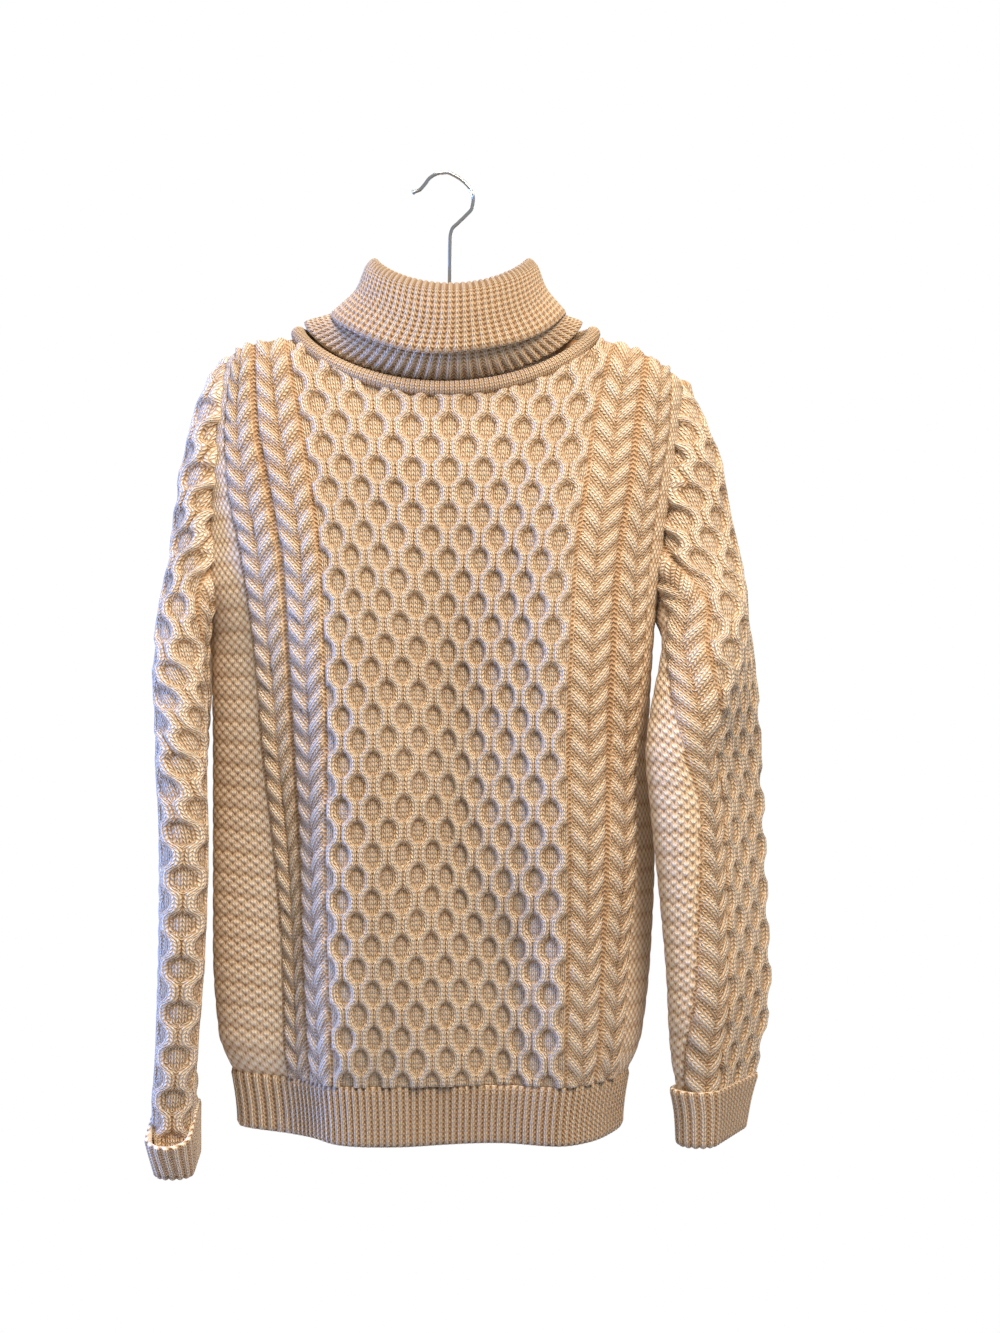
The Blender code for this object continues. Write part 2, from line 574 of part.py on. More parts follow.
def ribBand(name, place, outward, ribs, edges, ribRows, plainRows, material, tall):
    """A ribbed band between two edges: s counts ribs. Ribs stand between the first and last of ribRows."""
    half = ribs / 2
    columns = np.arange(-half + 0.5, half - 0.4, 0.5)
    gap = 0.03
    ends = [-half + gap] + np.arange(-half + 2, half - 1.9, 2.0).tolist() + [half - gap]
    outline = ([(s, edges[0]) for s in ends] + [(ends[-1], t) for t in plainRows]
               + [(s, edges[1]) for s in ends[::-1]] + [(ends[0], t) for t in plainRows[::-1]])
    points = [(float(s), t) for s in columns for t in ribRows]
    lines = [(i, i + 1) for i in range(len(points) - 1) if (i + 1) % len(ribRows)]
    plain = [(s, t) for s in ends[1:-1] for t in plainRows]
    bare = [p for p in plain if not ribRows[0] <= p[1] <= ribRows[-1]]

    def rise(s, t):
        ribbed = (t > ribRows[0] - 0.01) & (t < ribRows[-1] + 0.01)
        return np.where(ribbed, ribRiseAt(s, t), 0.0)

    knitSheet(name, place, outward, outline, points + bare, lines, plain, rise, material, tall)


def hemBand(name, side, material):
    """Rib along the bottom of one panel."""
    scale = 2 * sideSeam / hemRibs

    def place(s, z):
        return hemPlace(s * scale, z, side)

    ribBand(name, place, -side, hemRibs, (hemBottom, hemTop - seamGap), [hemBottom + 2.5, hemTop - 2.5],
            [(hemTop + hemBottom) / 2], material, 0.2)


def cuff(name, rings, mirror, foot, flare, material):
    """Turned back cuff, joined to the sleeve's end and open at its upper rim."""

    def place(s, t):
        return cuffPlace(s, t, rings, mirror, foot, flare)

    ribBand(name, place, -mirror, cuffRibs, (0.0, 2.0), [1.15, 1.94], [0.5, 1.0, 1.5], material, 6.0)


def welt(name, material):
    """Rounded roll of fine knit between the body's neckline and the collar."""
    angles = np.linspace(0, 2 * math.pi, 42, endpoint=False)
    centres = ringPlace(angles, np.broadcast_to(np.array(weltRing), (len(angles), 7)))
    ups = np.broadcast_to(np.array((0.0, 0.0, 1.0)), (len(angles), 3))
    turn = np.linspace(0, 2 * math.pi, 6, endpoint=False)
    shape = weltRadius * np.stack([np.cos(turn), np.sin(turn)], axis=1)
    sweepRing(name, centres, ups, shape, True, material)


def hook(name, material):
    """Steel hook with a ball at its tip, and a shaft that stands in the bar."""
    path = np.array(hookPath)
    steps = 2 * len(path) - 1
    dense = smooth(range(len(path)), path, np.linspace(0, len(path) - 1, steps))
    dense = np.concatenate([dense[:1] + (dense[:1] - dense[1:2]) * 0.45, dense])
    centres = np.stack([dense[:, 0], np.zeros(steps + 1), dense[:, 1]], axis=1)
    turn = np.linspace(0, 2 * math.pi, 6, endpoint=False)
    size = np.full(steps + 1, wireRadius)
    size[:3] = (1.3, 2.2, 1.5)
    shape = size[:, None, None] * np.stack([np.cos(turn), np.sin(turn)], axis=1)[None]
    ups = np.broadcast_to(np.array((0.0, 1.0, 0.0)), (steps + 1, 3))
    sweepRing(name, centres, ups, shape, False, material)


def bar(name, material):
    """Plain shoulder bar under the shoulder seams, with round ends."""
    places = np.array((-186.0, -166.0, -140.0, -112.0, 0.0, 112.0, 140.0, 166.0, 186.0))
    seam = bodyPlace(places, topZ(places), -1)
    seam[:, 2] -= wall / 2 + 0.5
    seam[2:7, 2] = (seam[2, 2] - 2.0, barShoulder, barTop, barShoulder, seam[6, 2] - 2.0)
    x = np.linspace(seam[0, 0], seam[-1, 0], 19)
    top = smooth(seam[:, 0], seam[:, 2], x)
    centres = np.stack([x, np.zeros(19), top - barHalfTall], axis=1)
    x -= (x[0] + x[-1]) / 2
    turn = np.linspace(0, 2 * math.pi, 8, endpoint=False)
    size = np.sqrt(np.clip(1 - (np.abs(x) / (x[-1] + 1.5)) ** 24, 0.02, 1))
    shape = np.stack([barHalfWide * np.cos(turn), barHalfTall * np.sin(turn)], axis=1)
    shape = shape[None] * size[:, None, None]
    ups = np.broadcast_to(np.array((0.0, 0.0, 1.0)), (19, 3))
    sweepRing(name, centres, ups, shape, False, material)


def makeMaterial(name, colour, roughness, metallic):
    material = bpy.data.materials.new(name)
    material.use_nodes = True
    shader = material.node_tree.nodes["Principled BSDF"]
    shader.inputs["Base Color"].default_value = (*colour, 1.0)
    shader.inputs["Roughness"].default_value = roughness
    shader.inputs["Metallic"].default_value = metallic
    return material


def main():
    for thing in list(bpy.data.objects):
        bpy.data.objects.remove(thing)
    wool = makeMaterial("cream wool", (0.78, 0.64, 0.47), 0.9, 0.0)
    steel = makeMaterial("polished steel", (0.72, 0.72, 0.72), 0.15, 1.0)
    wood = makeMaterial("hanger wood", (0.55, 0.38, 0.22), 0.5, 0.0)
    bodyPanel("front", -1, 55.0, wool)
    bodyPanel("back", 1, 10.0, wool)
    sleeve("sleeve_left", leftRings, leftHalfCloth, -1, -806.0, wool)
    sleeve("sleeve_right", rightRings, rightHalfCloth, 1, -798.0, wool)
    hemBand("hem_front", -1, wool)
    hemBand("hem_back", 1, wool)
    cuff("cuff_left", leftRings, -1, -807.0, 26.0, wool)
    cuff("cuff_right", rightRings, 1, -799.0, 0.0, wool)
    ribBand("collar", lambda s, t: collarPlace(s + collarRibs / 2, t), -1, collarRibs, (0.0, 7.0),
            [4.6, 5.6, 6.85], [1.0, 2.0, 3.0, 3.5, 4.0, 5.0, 6.0], wool, 4.0)
    welt("neck_welt", wool)
    hook("hook", steel)
    bar("shoulder_bar", wood)


main()
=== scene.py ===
import math

import bpy
import numpy as np
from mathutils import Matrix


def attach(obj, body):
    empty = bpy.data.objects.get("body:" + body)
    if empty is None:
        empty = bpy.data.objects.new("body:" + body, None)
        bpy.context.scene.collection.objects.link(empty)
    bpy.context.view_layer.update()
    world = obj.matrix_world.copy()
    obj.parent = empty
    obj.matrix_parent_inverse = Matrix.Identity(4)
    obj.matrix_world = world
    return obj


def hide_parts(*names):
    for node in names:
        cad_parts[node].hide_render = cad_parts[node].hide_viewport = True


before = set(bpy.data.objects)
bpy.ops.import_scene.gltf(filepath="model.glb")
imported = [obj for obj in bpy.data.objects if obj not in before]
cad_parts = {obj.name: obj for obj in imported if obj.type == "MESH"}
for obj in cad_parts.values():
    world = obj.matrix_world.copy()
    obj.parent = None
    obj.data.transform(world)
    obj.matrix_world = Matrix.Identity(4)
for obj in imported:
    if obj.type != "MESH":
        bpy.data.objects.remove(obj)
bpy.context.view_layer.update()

# Everything below is in millimetres until it goes into a mesh. The sweater hangs from a hook whose top is at
# zero. X grows to the right across the front, Y to the back, Z up.
millimetre = 0.001

knit = {
    "wall": 2.8,            # thickness of the cloth
    "wale": 4.0,            # one stitch across
    "course": 3.7,          # one stitch up
    "cellWide": 32.0,       # honeycomb cell
    "cellTall": 36.0,
    "holeWide": 7.6,        # half of the round opening in a cell
    "holeTall": 9.0,
    "cordRadius": 4.6,      # half of a two stitch cord
    "cordRise": 4.8,
    "chevronPitch": 18.0,   # from one V of a cable to the next
    "chevronHalf": 16.0,
    "chevronSlant": 15.0,
    "chevronRise": 4.8,
    "bandPitch": 18.0,      # faint level bands in the moss stitch
    "ribRise": 2.5,
    "edgeShare": 0.35,      # how much of the relief is left along a piece's edges
    "strandTop": (0.25, 0.35),   # stitch coordinates of a strand's middle, for rims and plain faces
}

body = {
    # places across the flat cloth, from the left side seam to the right one
    "across": (-260.0, -204.0, -166.0, -128.0, -64.0, 0.0, 64.0, 128.0, 166.0, 204.0, 260.0),
    "hemBottom": -787.0, "hemTop": -740.0, "armpit": -394.0,
    "rollDrop": 26.0,       # height over which the cloth rolls in to the shoulder seam
    "seamSlope": 0.9,       # how steeply it may leave a side seam
    "neckHalf": 119.0, "neckSideZ": -138.5,
    "honeyHalf": 128.0, "cables": (147.0, 185.0), "moss": 204.0,   # where the bands of stitches lie
    "shoulderZ": (-155.0, -149.0, -142.0, -138.6, -122.0, -116.0, -122.0, -140.5, -151.0, -165.0, -174.0),
    # the back's columns as shares of its width, and how far each stands out as a share of backDepth
    "backSpread": (0.0, 0.115, 0.205, 0.30, 0.40, 0.50, 0.60, 0.70, 0.795, 0.885, 1.0),
    "backBulge": (0.0, 0.62, 0.82, 0.97, 0.98, 0.92, 0.99, 1.0, 0.84, 0.64, 0.0),
}
frontX = {
    # height: left seam, moss, ladder, honeycomb, quarter, centre, and the same out to the right seam
    -141.0: (-181.0, -175.0, -161.0, -132.0, -66.0, 0.0, 66.0, 133.0, 164.0, 184.0, 194.0),
    -212.0: (-189.0, -182.0, -155.0, -117.0, -58.5, 1.5, 61.0, 115.0, 152.0, 180.0, 188.0),
    -253.0: (-192.0, -180.0, -146.0, -110.0, -55.0, 2.0, 57.0, 110.0, 147.0, 173.0, 182.0),
    -320.0: (-195.0, -168.0, -134.0, -101.0, -53.0, 1.0, 53.0, 101.0, 136.0, 163.0, 173.0),
    -394.0: (-195.0, -157.0, -128.0, -97.0, -50.0, 0.0, 49.0, 97.0, 132.0, 158.0, 166.0),
    -475.0: (-194.0, -149.0, -122.0, -93.0, -48.0, 0.0, 47.0, 94.0, 127.0, 151.0, 163.0),
    -563.0: (-194.0, -139.0, -116.0, -92.0, -47.0, -1.0, 45.0, 94.0, 124.0, 150.0, 168.0),
    -640.0: (-194.0, -134.0, -114.0, -91.0, -47.0, -1.0, 45.0, 94.0, 121.0, 144.0, 165.0),
    -712.0: (-189.0, -133.0, -111.0, -89.0, -46.0, 0.0, 46.0, 93.0, 119.0, 140.0, 157.0),
    -740.0: (-178.0, -129.0, -109.0, -89.0, -46.0, 0.0, 46.0, 93.0, 116.0, 133.0, 146.0),
}
frontY = {
    -141.0: (-10.0, -13.0, -15.0, -17.0, -18.0, -18.0, -18.0, -17.0, -15.0, -13.0, -10.0),
    -212.0: (-18.0, -27.0, -35.0, -40.0, -42.0, -43.0, -42.0, -40.0, -35.0, -25.0, -16.0),
    -253.0: (-24.0, -36.0, -46.0, -52.0, -54.0, -55.0, -54.0, -53.0, -45.0, -34.0, -22.0),
    -320.0: (-24.0, -44.0, -57.0, -66.0, -64.0, -64.0, -66.0, -70.0, -57.0, -42.0, -22.0),
    -394.0: (0.0, -46.0, -60.0, -76.0, -73.0, -69.0, -74.0, -82.0, -65.0, -44.0, 0.0),
    -475.0: (0.0, -48.0, -60.0, -82.0, -80.0, -71.0, -79.0, -88.0, -70.0, -45.0, 0.0),
    -563.0: (0.0, -48.0, -60.0, -87.0, -86.0, -73.0, -83.0, -92.0, -74.0, -46.0, 0.0),
    -640.0: (0.0, -48.0, -60.0, -88.0, -88.0, -78.0, -76.0, -92.0, -74.0, -47.0, 0.0),
    -712.0: (0.0, -46.0, -60.0, -86.0, -86.0, -78.0, -76.0, -88.0, -70.0, -43.0, 0.0),
    -740.0: (0.0, -43.0, -60.0, -80.0, -82.0, -77.0, -77.0, -83.0, -65.0, -39.0, 0.0),
}
backDepth = {-141.0: 20.0, -212.0: 36.0, -253.0: 45.0, -320.0: 60.0, -394.0: 72.0, -475.0: 79.0,
             -563.0: 84.0, -640.0: 86.0, -712.0: 84.0, -740.0: 78.0}

sleeveGrid = {"columns": 152, "rows": 318, "capRows": 9}
# sleeve rings by height: centre out and forward, half thickness, half depth, tilt in degrees, turn of the
# centre line to the front, share of the ring that is cloth, half the cloth's width.
leftSleeve = {
    "mirror": -1, "foot": -817.0, "cap": -158.0, "tip": (-183.5, 0.0, -152.5),
    "honeyHalf": 80.0, "cable": 99.0, "moss": 117.0,
    "cuffFoot": -818.0, "cuffLean": 26.0,
    "rings": {
        -158.0: (184.0, 0.0, 6.0, 6.0, 0.0, 0.0, 0.5, 9.0),
        -172.0: (187.0, 0.0, 11.0, 14.0, 0.0, 0.0, 0.5, 19.0),
        -212.0: (190.0, 0.0, 18.5, 24.0, 0.0, 0.0, 0.5, 31.0),
        -253.0: (195.0, 0.0, 22.5, 32.0, 0.0, 0.0, 0.52, 43.0),
        -320.0: (206.0, 0.0, 17.5, 42.0, 0.0, 0.0, 0.62, 79.0),
        -360.0: (213.0, 0.0, 16.5, 52.0, 0.0, 0.02, 0.80, 119.0),
        -394.0: (217.0, 0.0, 15.5, 60.0, 0.0, 0.05, 1.0, 142.0),
        -440.0: (219.0, 0.0, 15.2, 68.0, 4.0, 0.12, 1.0, 149.0),
        -500.0: (221.5, 0.0, 14.2, 75.0, 8.0, 0.21, 1.0, 150.0),
        -560.0: (221.5, 0.0, 13.5, 77.0, 10.0, 0.25, 1.0, 150.0),
        -640.0: (223.0, 0.0, 12.3, 72.0, 10.0, 0.25, 1.0, 141.0),
        -720.0: (226.5, 0.0, 11.2, 60.0, 9.0, 0.25, 1.0, 127.0),
        -772.0: (227.5, 0.0, 10.8, 49.0, 5.0, 0.25, 1.0, 121.0),
        -820.0: (225.5, 0.0, 9.5, 44.0, 4.0, 0.25, 1.0, 118.0),
    },
}
rightSleeve = {
    "mirror": 1, "foot": -788.0, "cap": -176.0, "tip": (190.5, 0.0, -171.0),
    "honeyHalf": 80.0, "cable": 99.0, "moss": 117.0,
    "cuffFoot": -789.0, "cuffLean": 0.0,
    "rings": {
        -176.0: (192.5, 0.0, 7.0, 6.0, 0.0, 0.0, 0.5, 9.0),
        -190.0: (191.0, 0.0, 11.5, 14.0, 0.0, 0.0, 0.5, 18.0),
        -212.0: (188.5, 0.0, 22.0, 23.0, 0.0, 0.0, 0.5, 33.0),
        -253.0: (184.5, 0.0, 38.5, 32.0, 0.0, 0.0, 0.52, 56.0),
        -320.0: (193.5, -2.0, 42.0, 46.0, 3.0, 0.0, 0.62, 91.0),
        -360.0: (208.5, -6.0, 32.5, 58.0, 6.0, -0.02, 0.8, 129.0),
        -394.0: (212.0, -12.0, 30.0, 65.0, 12.0, -0.04, 1.0, 153.0),
        -436.0: (210.0, -18.0, 29.0, 72.0, 20.0, -0.09, 1.0, 162.0),
        -478.0: (208.5, -20.0, 23.0, 78.0, 27.0, -0.15, 1.0, 163.0),
        -520.0: (211.5, -21.0, 21.5, 77.0, 28.0, -0.18, 1.0, 162.0),
        -618.0: (217.8, -22.0, 20.5, 70.0, 28.0, -0.18, 1.0, 149.0),
        -677.0: (221.0, -21.0, 19.7, 67.0, 29.0, -0.18, 1.0, 141.0),
        -720.0: (219.5, -20.0, 16.5, 58.0, 31.0, -0.18, 1.0, 134.0),
        -770.0: (217.0, -19.0, 12.0, 46.0, 26.0, -0.18, 1.0, 125.5),
        -806.0: (215.0, -18.0, 10.0, 43.0, 25.0, -0.18, 1.0, 120.0),
    },
}

collar = {
    "ribs": 80, "pointsPerRib": 6, "rows": 72, "ribRise": 1.7,
    "rowsPerRing": 6.6,     # stitches up from one ring to the next
    # from the welt up, over the fold and down: middle x, half width, front depth, back depth, then the
    # heights at the sides, the front and the back
    "rings": (
        (-5.0, 115.0, 28.0, 17.0, -124.0, -174.0, -132.0),
        (-2.0, 92.0, 45.0, 36.0, -116.5, -159.0, -124.0),
        (2.0, 71.0, 48.0, 44.0, -101.0, -136.0, -108.0),
        (2.0, 61.0, 44.0, 44.0, -80.0, -109.0, -92.0),
        (2.0, 64.0, 48.0, 48.0, -72.5, -101.0, -86.0),
        (2.0, 68.5, 54.0, 53.0, -77.0, -105.5, -90.0),
        (1.5, 76.0, 57.0, 56.0, -95.0, -130.0, -106.0),
        (-1.0, 96.5, 57.0, 58.0, -117.0, -156.0, -122.0),
    ),
}
welt = {
    "ring": (-3.0, 122.0, 36.0, 27.0, -132.0, -182.0, -139.0), "radius": 5.8,
    "columns": 190, "rise": 0.5, "stepsPerColumn": 6, "pointsRound": 28,
}
hem = {"ribs": 70, "pointsPerRib": 10, "rows": 15, "middleX": -15.0, "drawIn": 0.035, "wave": 1.2}
cuff = {"ribs": 36, "pointsPerRib": 10, "tall": 42.0, "turn": 2.3, "flare": 1.2, "ribRise": 1.5, "wall": 2.6}
hanger = {
    "wire": 1.5, "ball": 2.2, "barTop": -118.0, "barShoulder": -140.0, "barWide": 5.0, "barTall": 8.0,
    "barSteps": 90,
    "hookPath": ((-29.3, -14.1), (-25.0, -12.5), (-20.8, -8.2), (-16.0, -2.2), (-9.0, 1.4), (-2.0, 2.0),
                 (4.3, -0.4), (8.6, -3.0), (13.4, -6.8), (17.4, -11.8), (19.9, -19.5), (18.6, -27.5),
                 (13.4, -33.8), (7.2, -39.8), (2.2, -45.0), (0.6, -52.5), (0.2, -80.0), (0.0, -117.7)),
}


camera = {"place": (0.042, -1.70, -0.408), "lens": 55.3, "sensor": 36.0}
eye = bpy.data.objects.new("camera", bpy.data.cameras.new("camera"))
eye.data.lens = camera["lens"]
eye.data.sensor_fit = "VERTICAL"
eye.data.sensor_height = camera["sensor"]
eye.location = camera["place"]
eye.rotation_euler = (math.pi / 2, 0.0, 0.0)
bpy.context.scene.collection.objects.link(eye)
bpy.context.scene.camera = eye
print("camera set")


def smooth(knots, values, at):
    # cubic pieces through the values; each inner slope is the harmonic mean of its two chords, so that
    # nothing overshoots
    order = np.argsort(knots)
    knots = np.asarray(knots, float)[order]
    values = np.asarray(values, float)[order]
    rise = np.diff(values, axis=0) / np.diff(knots).reshape((-1,) + (1,) * (values.ndim - 1))
    same = rise[1:] * rise[:-1] > 0
    total = np.where(same, rise[1:] + rise[:-1], 1.0)
    slope = np.concatenate([rise[:1], np.where(same, 2 * rise[1:] * rise[:-1] / total, 0.0), rise[-1:]])
    at = np.clip(np.asarray(at, float), knots[0], knots[-1])
    cell = np.clip(np.searchsorted(knots, at) - 1, 0, len(knots) - 2)
    step = (knots[1:] - knots[:-1])[cell]
    f = (at - knots[cell]) / step
    f = f.reshape(f.shape + (1,) * (values.ndim - 1))
    step = step.reshape(f.shape)
    return ((2 * f ** 3 - 3 * f ** 2 + 1) * values[cell] + (f ** 3 - 2 * f ** 2 + f) * step * slope[cell]
            + (3 * f ** 2 - 2 * f ** 3) * values[cell + 1] + (f ** 3 - f ** 2) * step * slope[cell + 1])


def alongRow(columns, s, first, last):
    # cubic pieces along each point's own row of column values, with the end slopes given
    knots = np.array(body["across"])
    rise = np.diff(columns, axis=1) / np.diff(knots)
    slope = np.empty_like(columns)
    slope[:, 1:-1] = (rise[:, 1:] + rise[:, :-1]) / 2
    slope[:, 0] = first
    slope[:, -1] = last
    s = np.clip(s, knots[0], knots[-1])
    cell = np.clip(np.searchsorted(knots, s) - 1, 0, len(knots) - 2)
    rows = np.arange(len(s))
    step = np.diff(knots)[cell]
    f = (s - knots[cell]) / step
    return ((2 * f ** 3 - 3 * f ** 2 + 1) * columns[rows, cell]
            + (f ** 3 - 2 * f ** 2 + f) * step * slope[rows, cell]
            + (3 * f ** 2 - 2 * f ** 3) * columns[rows, cell + 1]
            + (f ** 3 - f ** 2) * step * slope[rows, cell + 1])


def tableAt(table, z):
    return smooth(list(table.keys()), list(table.values()), z)


def topZ(s):
    return smooth(body["across"], body["shoulderZ"], s)


def bodyPlace(s, z, side):
    # x and y from the tables by height, read along each row; near the shoulder y shrinks as a circle does
    roll = np.clip((z - (topZ(s) - body["rollDrop"])) / body["rollDrop"], 0.0, 1.0)
    lowZ = np.minimum(z, topZ(s))
    xs = tableAt(frontX, lowZ)
    if side < 0:
        ys = tableAt(frontY, lowZ)
    else:
        left = xs[:, :1]
        even = left + (xs[:, -1:] - left) * np.array(body["backSpread"])
        neck = body["neckSideZ"] - 20.0
        share = np.clip((neck - lowZ) / (neck - body["armpit"]), 0.0, 1.0)[:, None]
        xs = xs + (even - xs) * share * share * (3 - 2 * share)
        ys = tableAt(backDepth, lowZ)[:, None] * np.array(body["backBulge"])
        seam = tableAt(frontY, lowZ)[:, [0, -1]]
        ys[:, 0] = -seam[:, 0]
        ys[:, -1] = -seam[:, 1]
    step = body["across"][1] - body["across"][0]
    steep = body["seamSlope"]
    first = np.clip(2 * (ys[:, 1] - ys[:, 0]) / step, -steep, steep)
    last = np.clip(2 * (ys[:, -1] - ys[:, -2]) / step, -steep, steep)
    y = alongRow(ys, s, first, last)
    slack = 1.5 / step * (1 - np.abs(np.stack([first, last])) / steep)
    x = alongRow(xs, s, (xs[:, 1] - xs[:, 0]) * slack[0], (xs[:, -1] - xs[:, -2]) * slack[1])
    return np.stack([x, y * np.sqrt(np.maximum(1 - roll ** 2, 0.0004)), lowZ], axis=1)


def ringPoint(share, numbers):
    # a rectangle with round corners, walked by its own length from the outer side round to the front
    centreOut, forward, short, deep, tilt = [numbers[:, k] for k in range(5)]
    corner = np.minimum(short, deep)[:, None] * 0.96
    count = 40                               # points round one corner
    quarter = np.linspace(0.0, math.pi / 2, count)
    angle = np.concatenate([quarter + k * math.pi / 2 for k in range(4)])
    sideways = np.repeat((1.0, -1.0, -1.0, 1.0), count)
    ahead = np.repeat((1.0, 1.0, -1.0, -1.0), count)
    out = (short[:, None] - corner) * sideways + corner * np.cos(angle)
    front = (deep[:, None] - corner) * ahead + corner * np.sin(angle)
    zero = np.zeros((len(short), 1))
    out = np.concatenate([short[:, None], out, short[:, None]], axis=1)
    front = np.concatenate([zero, front, zero], axis=1)
    chords = np.hypot(np.diff(out, axis=1), np.diff(front, axis=1))
    length = np.concatenate([zero, np.cumsum(chords, axis=1)], axis=1)
    want = (share % 1.0) * length[:, -1]
    cell = np.clip((length < want[:, None]).sum(axis=1) - 1, 0, 4 * count)
    rows = np.arange(len(short))
    f = (want - length[rows, cell]) / np.maximum(length[rows, cell + 1] - length[rows, cell], 1e-9)
    u = out[rows, cell] * (1 - f) + out[rows, cell + 1] * f
    v = front[rows, cell] * (1 - f) + front[rows, cell + 1] * f
    turn = np.radians(tilt)
    return centreOut + u * np.cos(turn) - v * np.sin(turn), forward - u * np.sin(turn) - v * np.cos(turn)


def ringPlace(angle, row):
    # x goes as a sine; y and z go as powers of the cosine between the side, front and back values
    middle, half, front, back, zSide, zFront, zBack = [row[..., k] for k in range(7)]
    ahead = np.maximum(np.cos(angle), 0.0)
    behind = np.maximum(-np.cos(angle), 0.0)
    x = middle + half * np.sin(angle)
    y = back * behind ** 0.85 - front * ahead ** 0.85
    z = zSide + (zFront - zSide) * ahead ** 1.4 + (zBack - zSide) * behind ** 1.4
    return np.stack([x, y, z], axis=-1)


def honeycomb(s, z):
    # round openings on a lattice whose rows are offset by half a cell. Between them the cloth is cord: its
    # height is half round over the distance to the nearest opening or to the upright crease of two cords.
    wide, tall = knit["cellWide"], knit["cellTall"]
    holeWide, holeTall = knit["holeWide"], knit["holeTall"]
    r = knit["cordRadius"]
    nearHole = np.full(s.shape, 99.0)
    crease = np.full(s.shape, 99.0)
    upper = np.zeros(s.shape)
    for offset in (0.0, 0.5):
        dx = s - wide * (np.round(s / wide - offset) + offset)
        dz = z - tall * (np.round(z / tall - offset) + offset)
        reach = np.hypot(dx / holeWide, dz / holeTall)
        spread = np.hypot(dx / holeWide ** 2, dz / holeTall ** 2)
        toHole = (reach - 1.0) * reach / np.maximum(spread, 1e-6)
        upper = np.where(toHole < nearHole, dz / holeTall, upper)
        nearHole = np.minimum(nearHole, toHole)
        above = tall / 2 - np.abs(dz)            # distance up or down to the next join's middle
        crease = np.minimum(crease, np.hypot(dx, np.maximum(above - (tall / 2 - holeTall), 0.0)))
    edge = np.minimum(nearHole, crease * 1.25)
    inside = np.clip(-nearHole / 5.0, 0.0, 1.0)
    fromRidge = np.clip(1.0 - edge / r, 0.0, 1.0)
    cord = knit["cordRise"] * np.sqrt(1.0 - fromRidge ** 2)
    atJoin = np.clip(1.0 - crease / 2.2, 0.0, 1.0) * np.clip(nearHole / 2.5, 0.0, 1.0)
    cord = np.maximum(cord, knit["cordRise"] * 0.5 * np.clip(nearHole / 5.0, 0.0, 1.0))
    rise = np.where(nearHole > 0.0, cord, 0.7 * inside)
    # a cord sways by a quarter of its lane; its stitches follow it
    lane = wide / 2
    beat = 2 * math.pi * z / tall
    k = np.floor(s / lane)
    sign = np.where(k % 2 < 0.5, 1.0, -1.0)
    sway = np.tanh(1.6 * np.cos(beat)) / math.tanh(1.6)
    across = s - lane * (k + 0.5) - sign * sway * lane / 4
    onCord = nearHole > 0.0
    u = np.where(onCord, across / knit["wale"], s / knit["wale"])
    v = np.where(onCord, z * 1.1 / knit["course"], z / knit["course"])
    # painted light: cords lighter on top with painted shade along their edges, a painted shadow under each
    # opening's upper arch, and painted shade at the joins of two cords
    arch = np.clip(upper, -1.0, 1.0)
    onTop = 0.30 + 0.70 * np.clip(edge / 3.0, 0.0, 1.0)
    onTop = onTop - 0.10 * arch * np.clip(1.0 - nearHole / 5.0, 0.0, 1.0)
    within = 0.34 + 0.36 * inside - 0.30 * np.clip(arch, 0.0, 1.0) * (1.0 - inside)
    paintedLight = np.where(onCord, onTop, within) * (1.0 - 0.6 * atJoin)
    return rise, u, v, paintedLight


def chevron(off, z):
    # plump lobes between slanted joins that rise from the cable's middle to its edges, one every pitch; a
    # lobe's section is half round, and a lower strand lies between one lobe and the next
    x = np.abs(off)
    half = knit["chevronHalf"]
    climb = knit["chevronSlant"] * (x / half) ** 0.9
    phase = (z - climb) / knit["chevronPitch"]
    f = phase - np.floor(phase)
    plump = np.sqrt(np.maximum(1.0 - ((f - 0.36) / 0.36) ** 2, 0.0))
    low = 0.45 * np.sqrt(np.maximum(1.0 - ((f - 0.86) / 0.14) ** 2, 0.0))
    lobe = np.maximum(plump, low)
    arm = np.sqrt(np.maximum(1.0 - ((x - half * 0.52) / (half * 0.52)) ** 2, 0.0))
    rise = knit["chevronRise"] * arm ** 0.7 * (0.25 + 0.75 * lobe)
    u = (z * 0.66 - x * 0.75) / knit["wale"]
    v = (z * 0.75 + x * 0.66) / knit["course"]
    # painted light: lighter on the lobes, painted shade between the lobes, down the cable's middle and at its
    # edges
    paintedLight = np.clip(arm, 0, 1) ** 0.8 * (0.14 + 0.80 * lobe ** 1.2)
    return rise, u, v, paintedLight


def panelKnit(s, z, halfHoney, cables, moss):
    # the bands of one piece side by side: honeycomb, cables with purl ladders between, moss at the edge
    a = np.abs(s)
    rise, u, v, paintedLight = honeycomb(np.clip(s, -halfHoney, halfHoney), z)
    kind = np.zeros(s.shape)                       # 0 knit, 1 purl, 2 moss
    past = a > halfHoney
    rise = np.where(past, 0.0, rise)
    # painted shade in the sunk purl ladders
    paintedLight = np.where(past, 0.15, paintedLight)
    u = np.where(past, s / knit["wale"], u)
    v = np.where(past, z / knit["course"], v)
    kind = np.where(past, 1.0, kind)
    for middle in cables:
        cable = chevron(a - middle, z)
        here = np.abs(a - middle) < knit["chevronHalf"]
        rise, u, v, paintedLight = [np.where(here, new, old) for new, old in zip(cable, (rise, u, v, paintedLight))]
        kind = np.where(here, 0.0, kind)
    seed = a > moss
    band = 0.5 + 0.5 * np.cos(2 * math.pi * z / knit["bandPitch"])
    rise = np.where(seed, 1.0 - 0.5 * band ** 4, rise)
    # painted shade in the dips of the moss stitch's level bands
    paintedLight = np.where(seed, 0.62 - 0.3 * band ** 6, paintedLight)
    kind = np.where(seed, 2.0, kind)
    return rise, u, v, paintedLight, kind


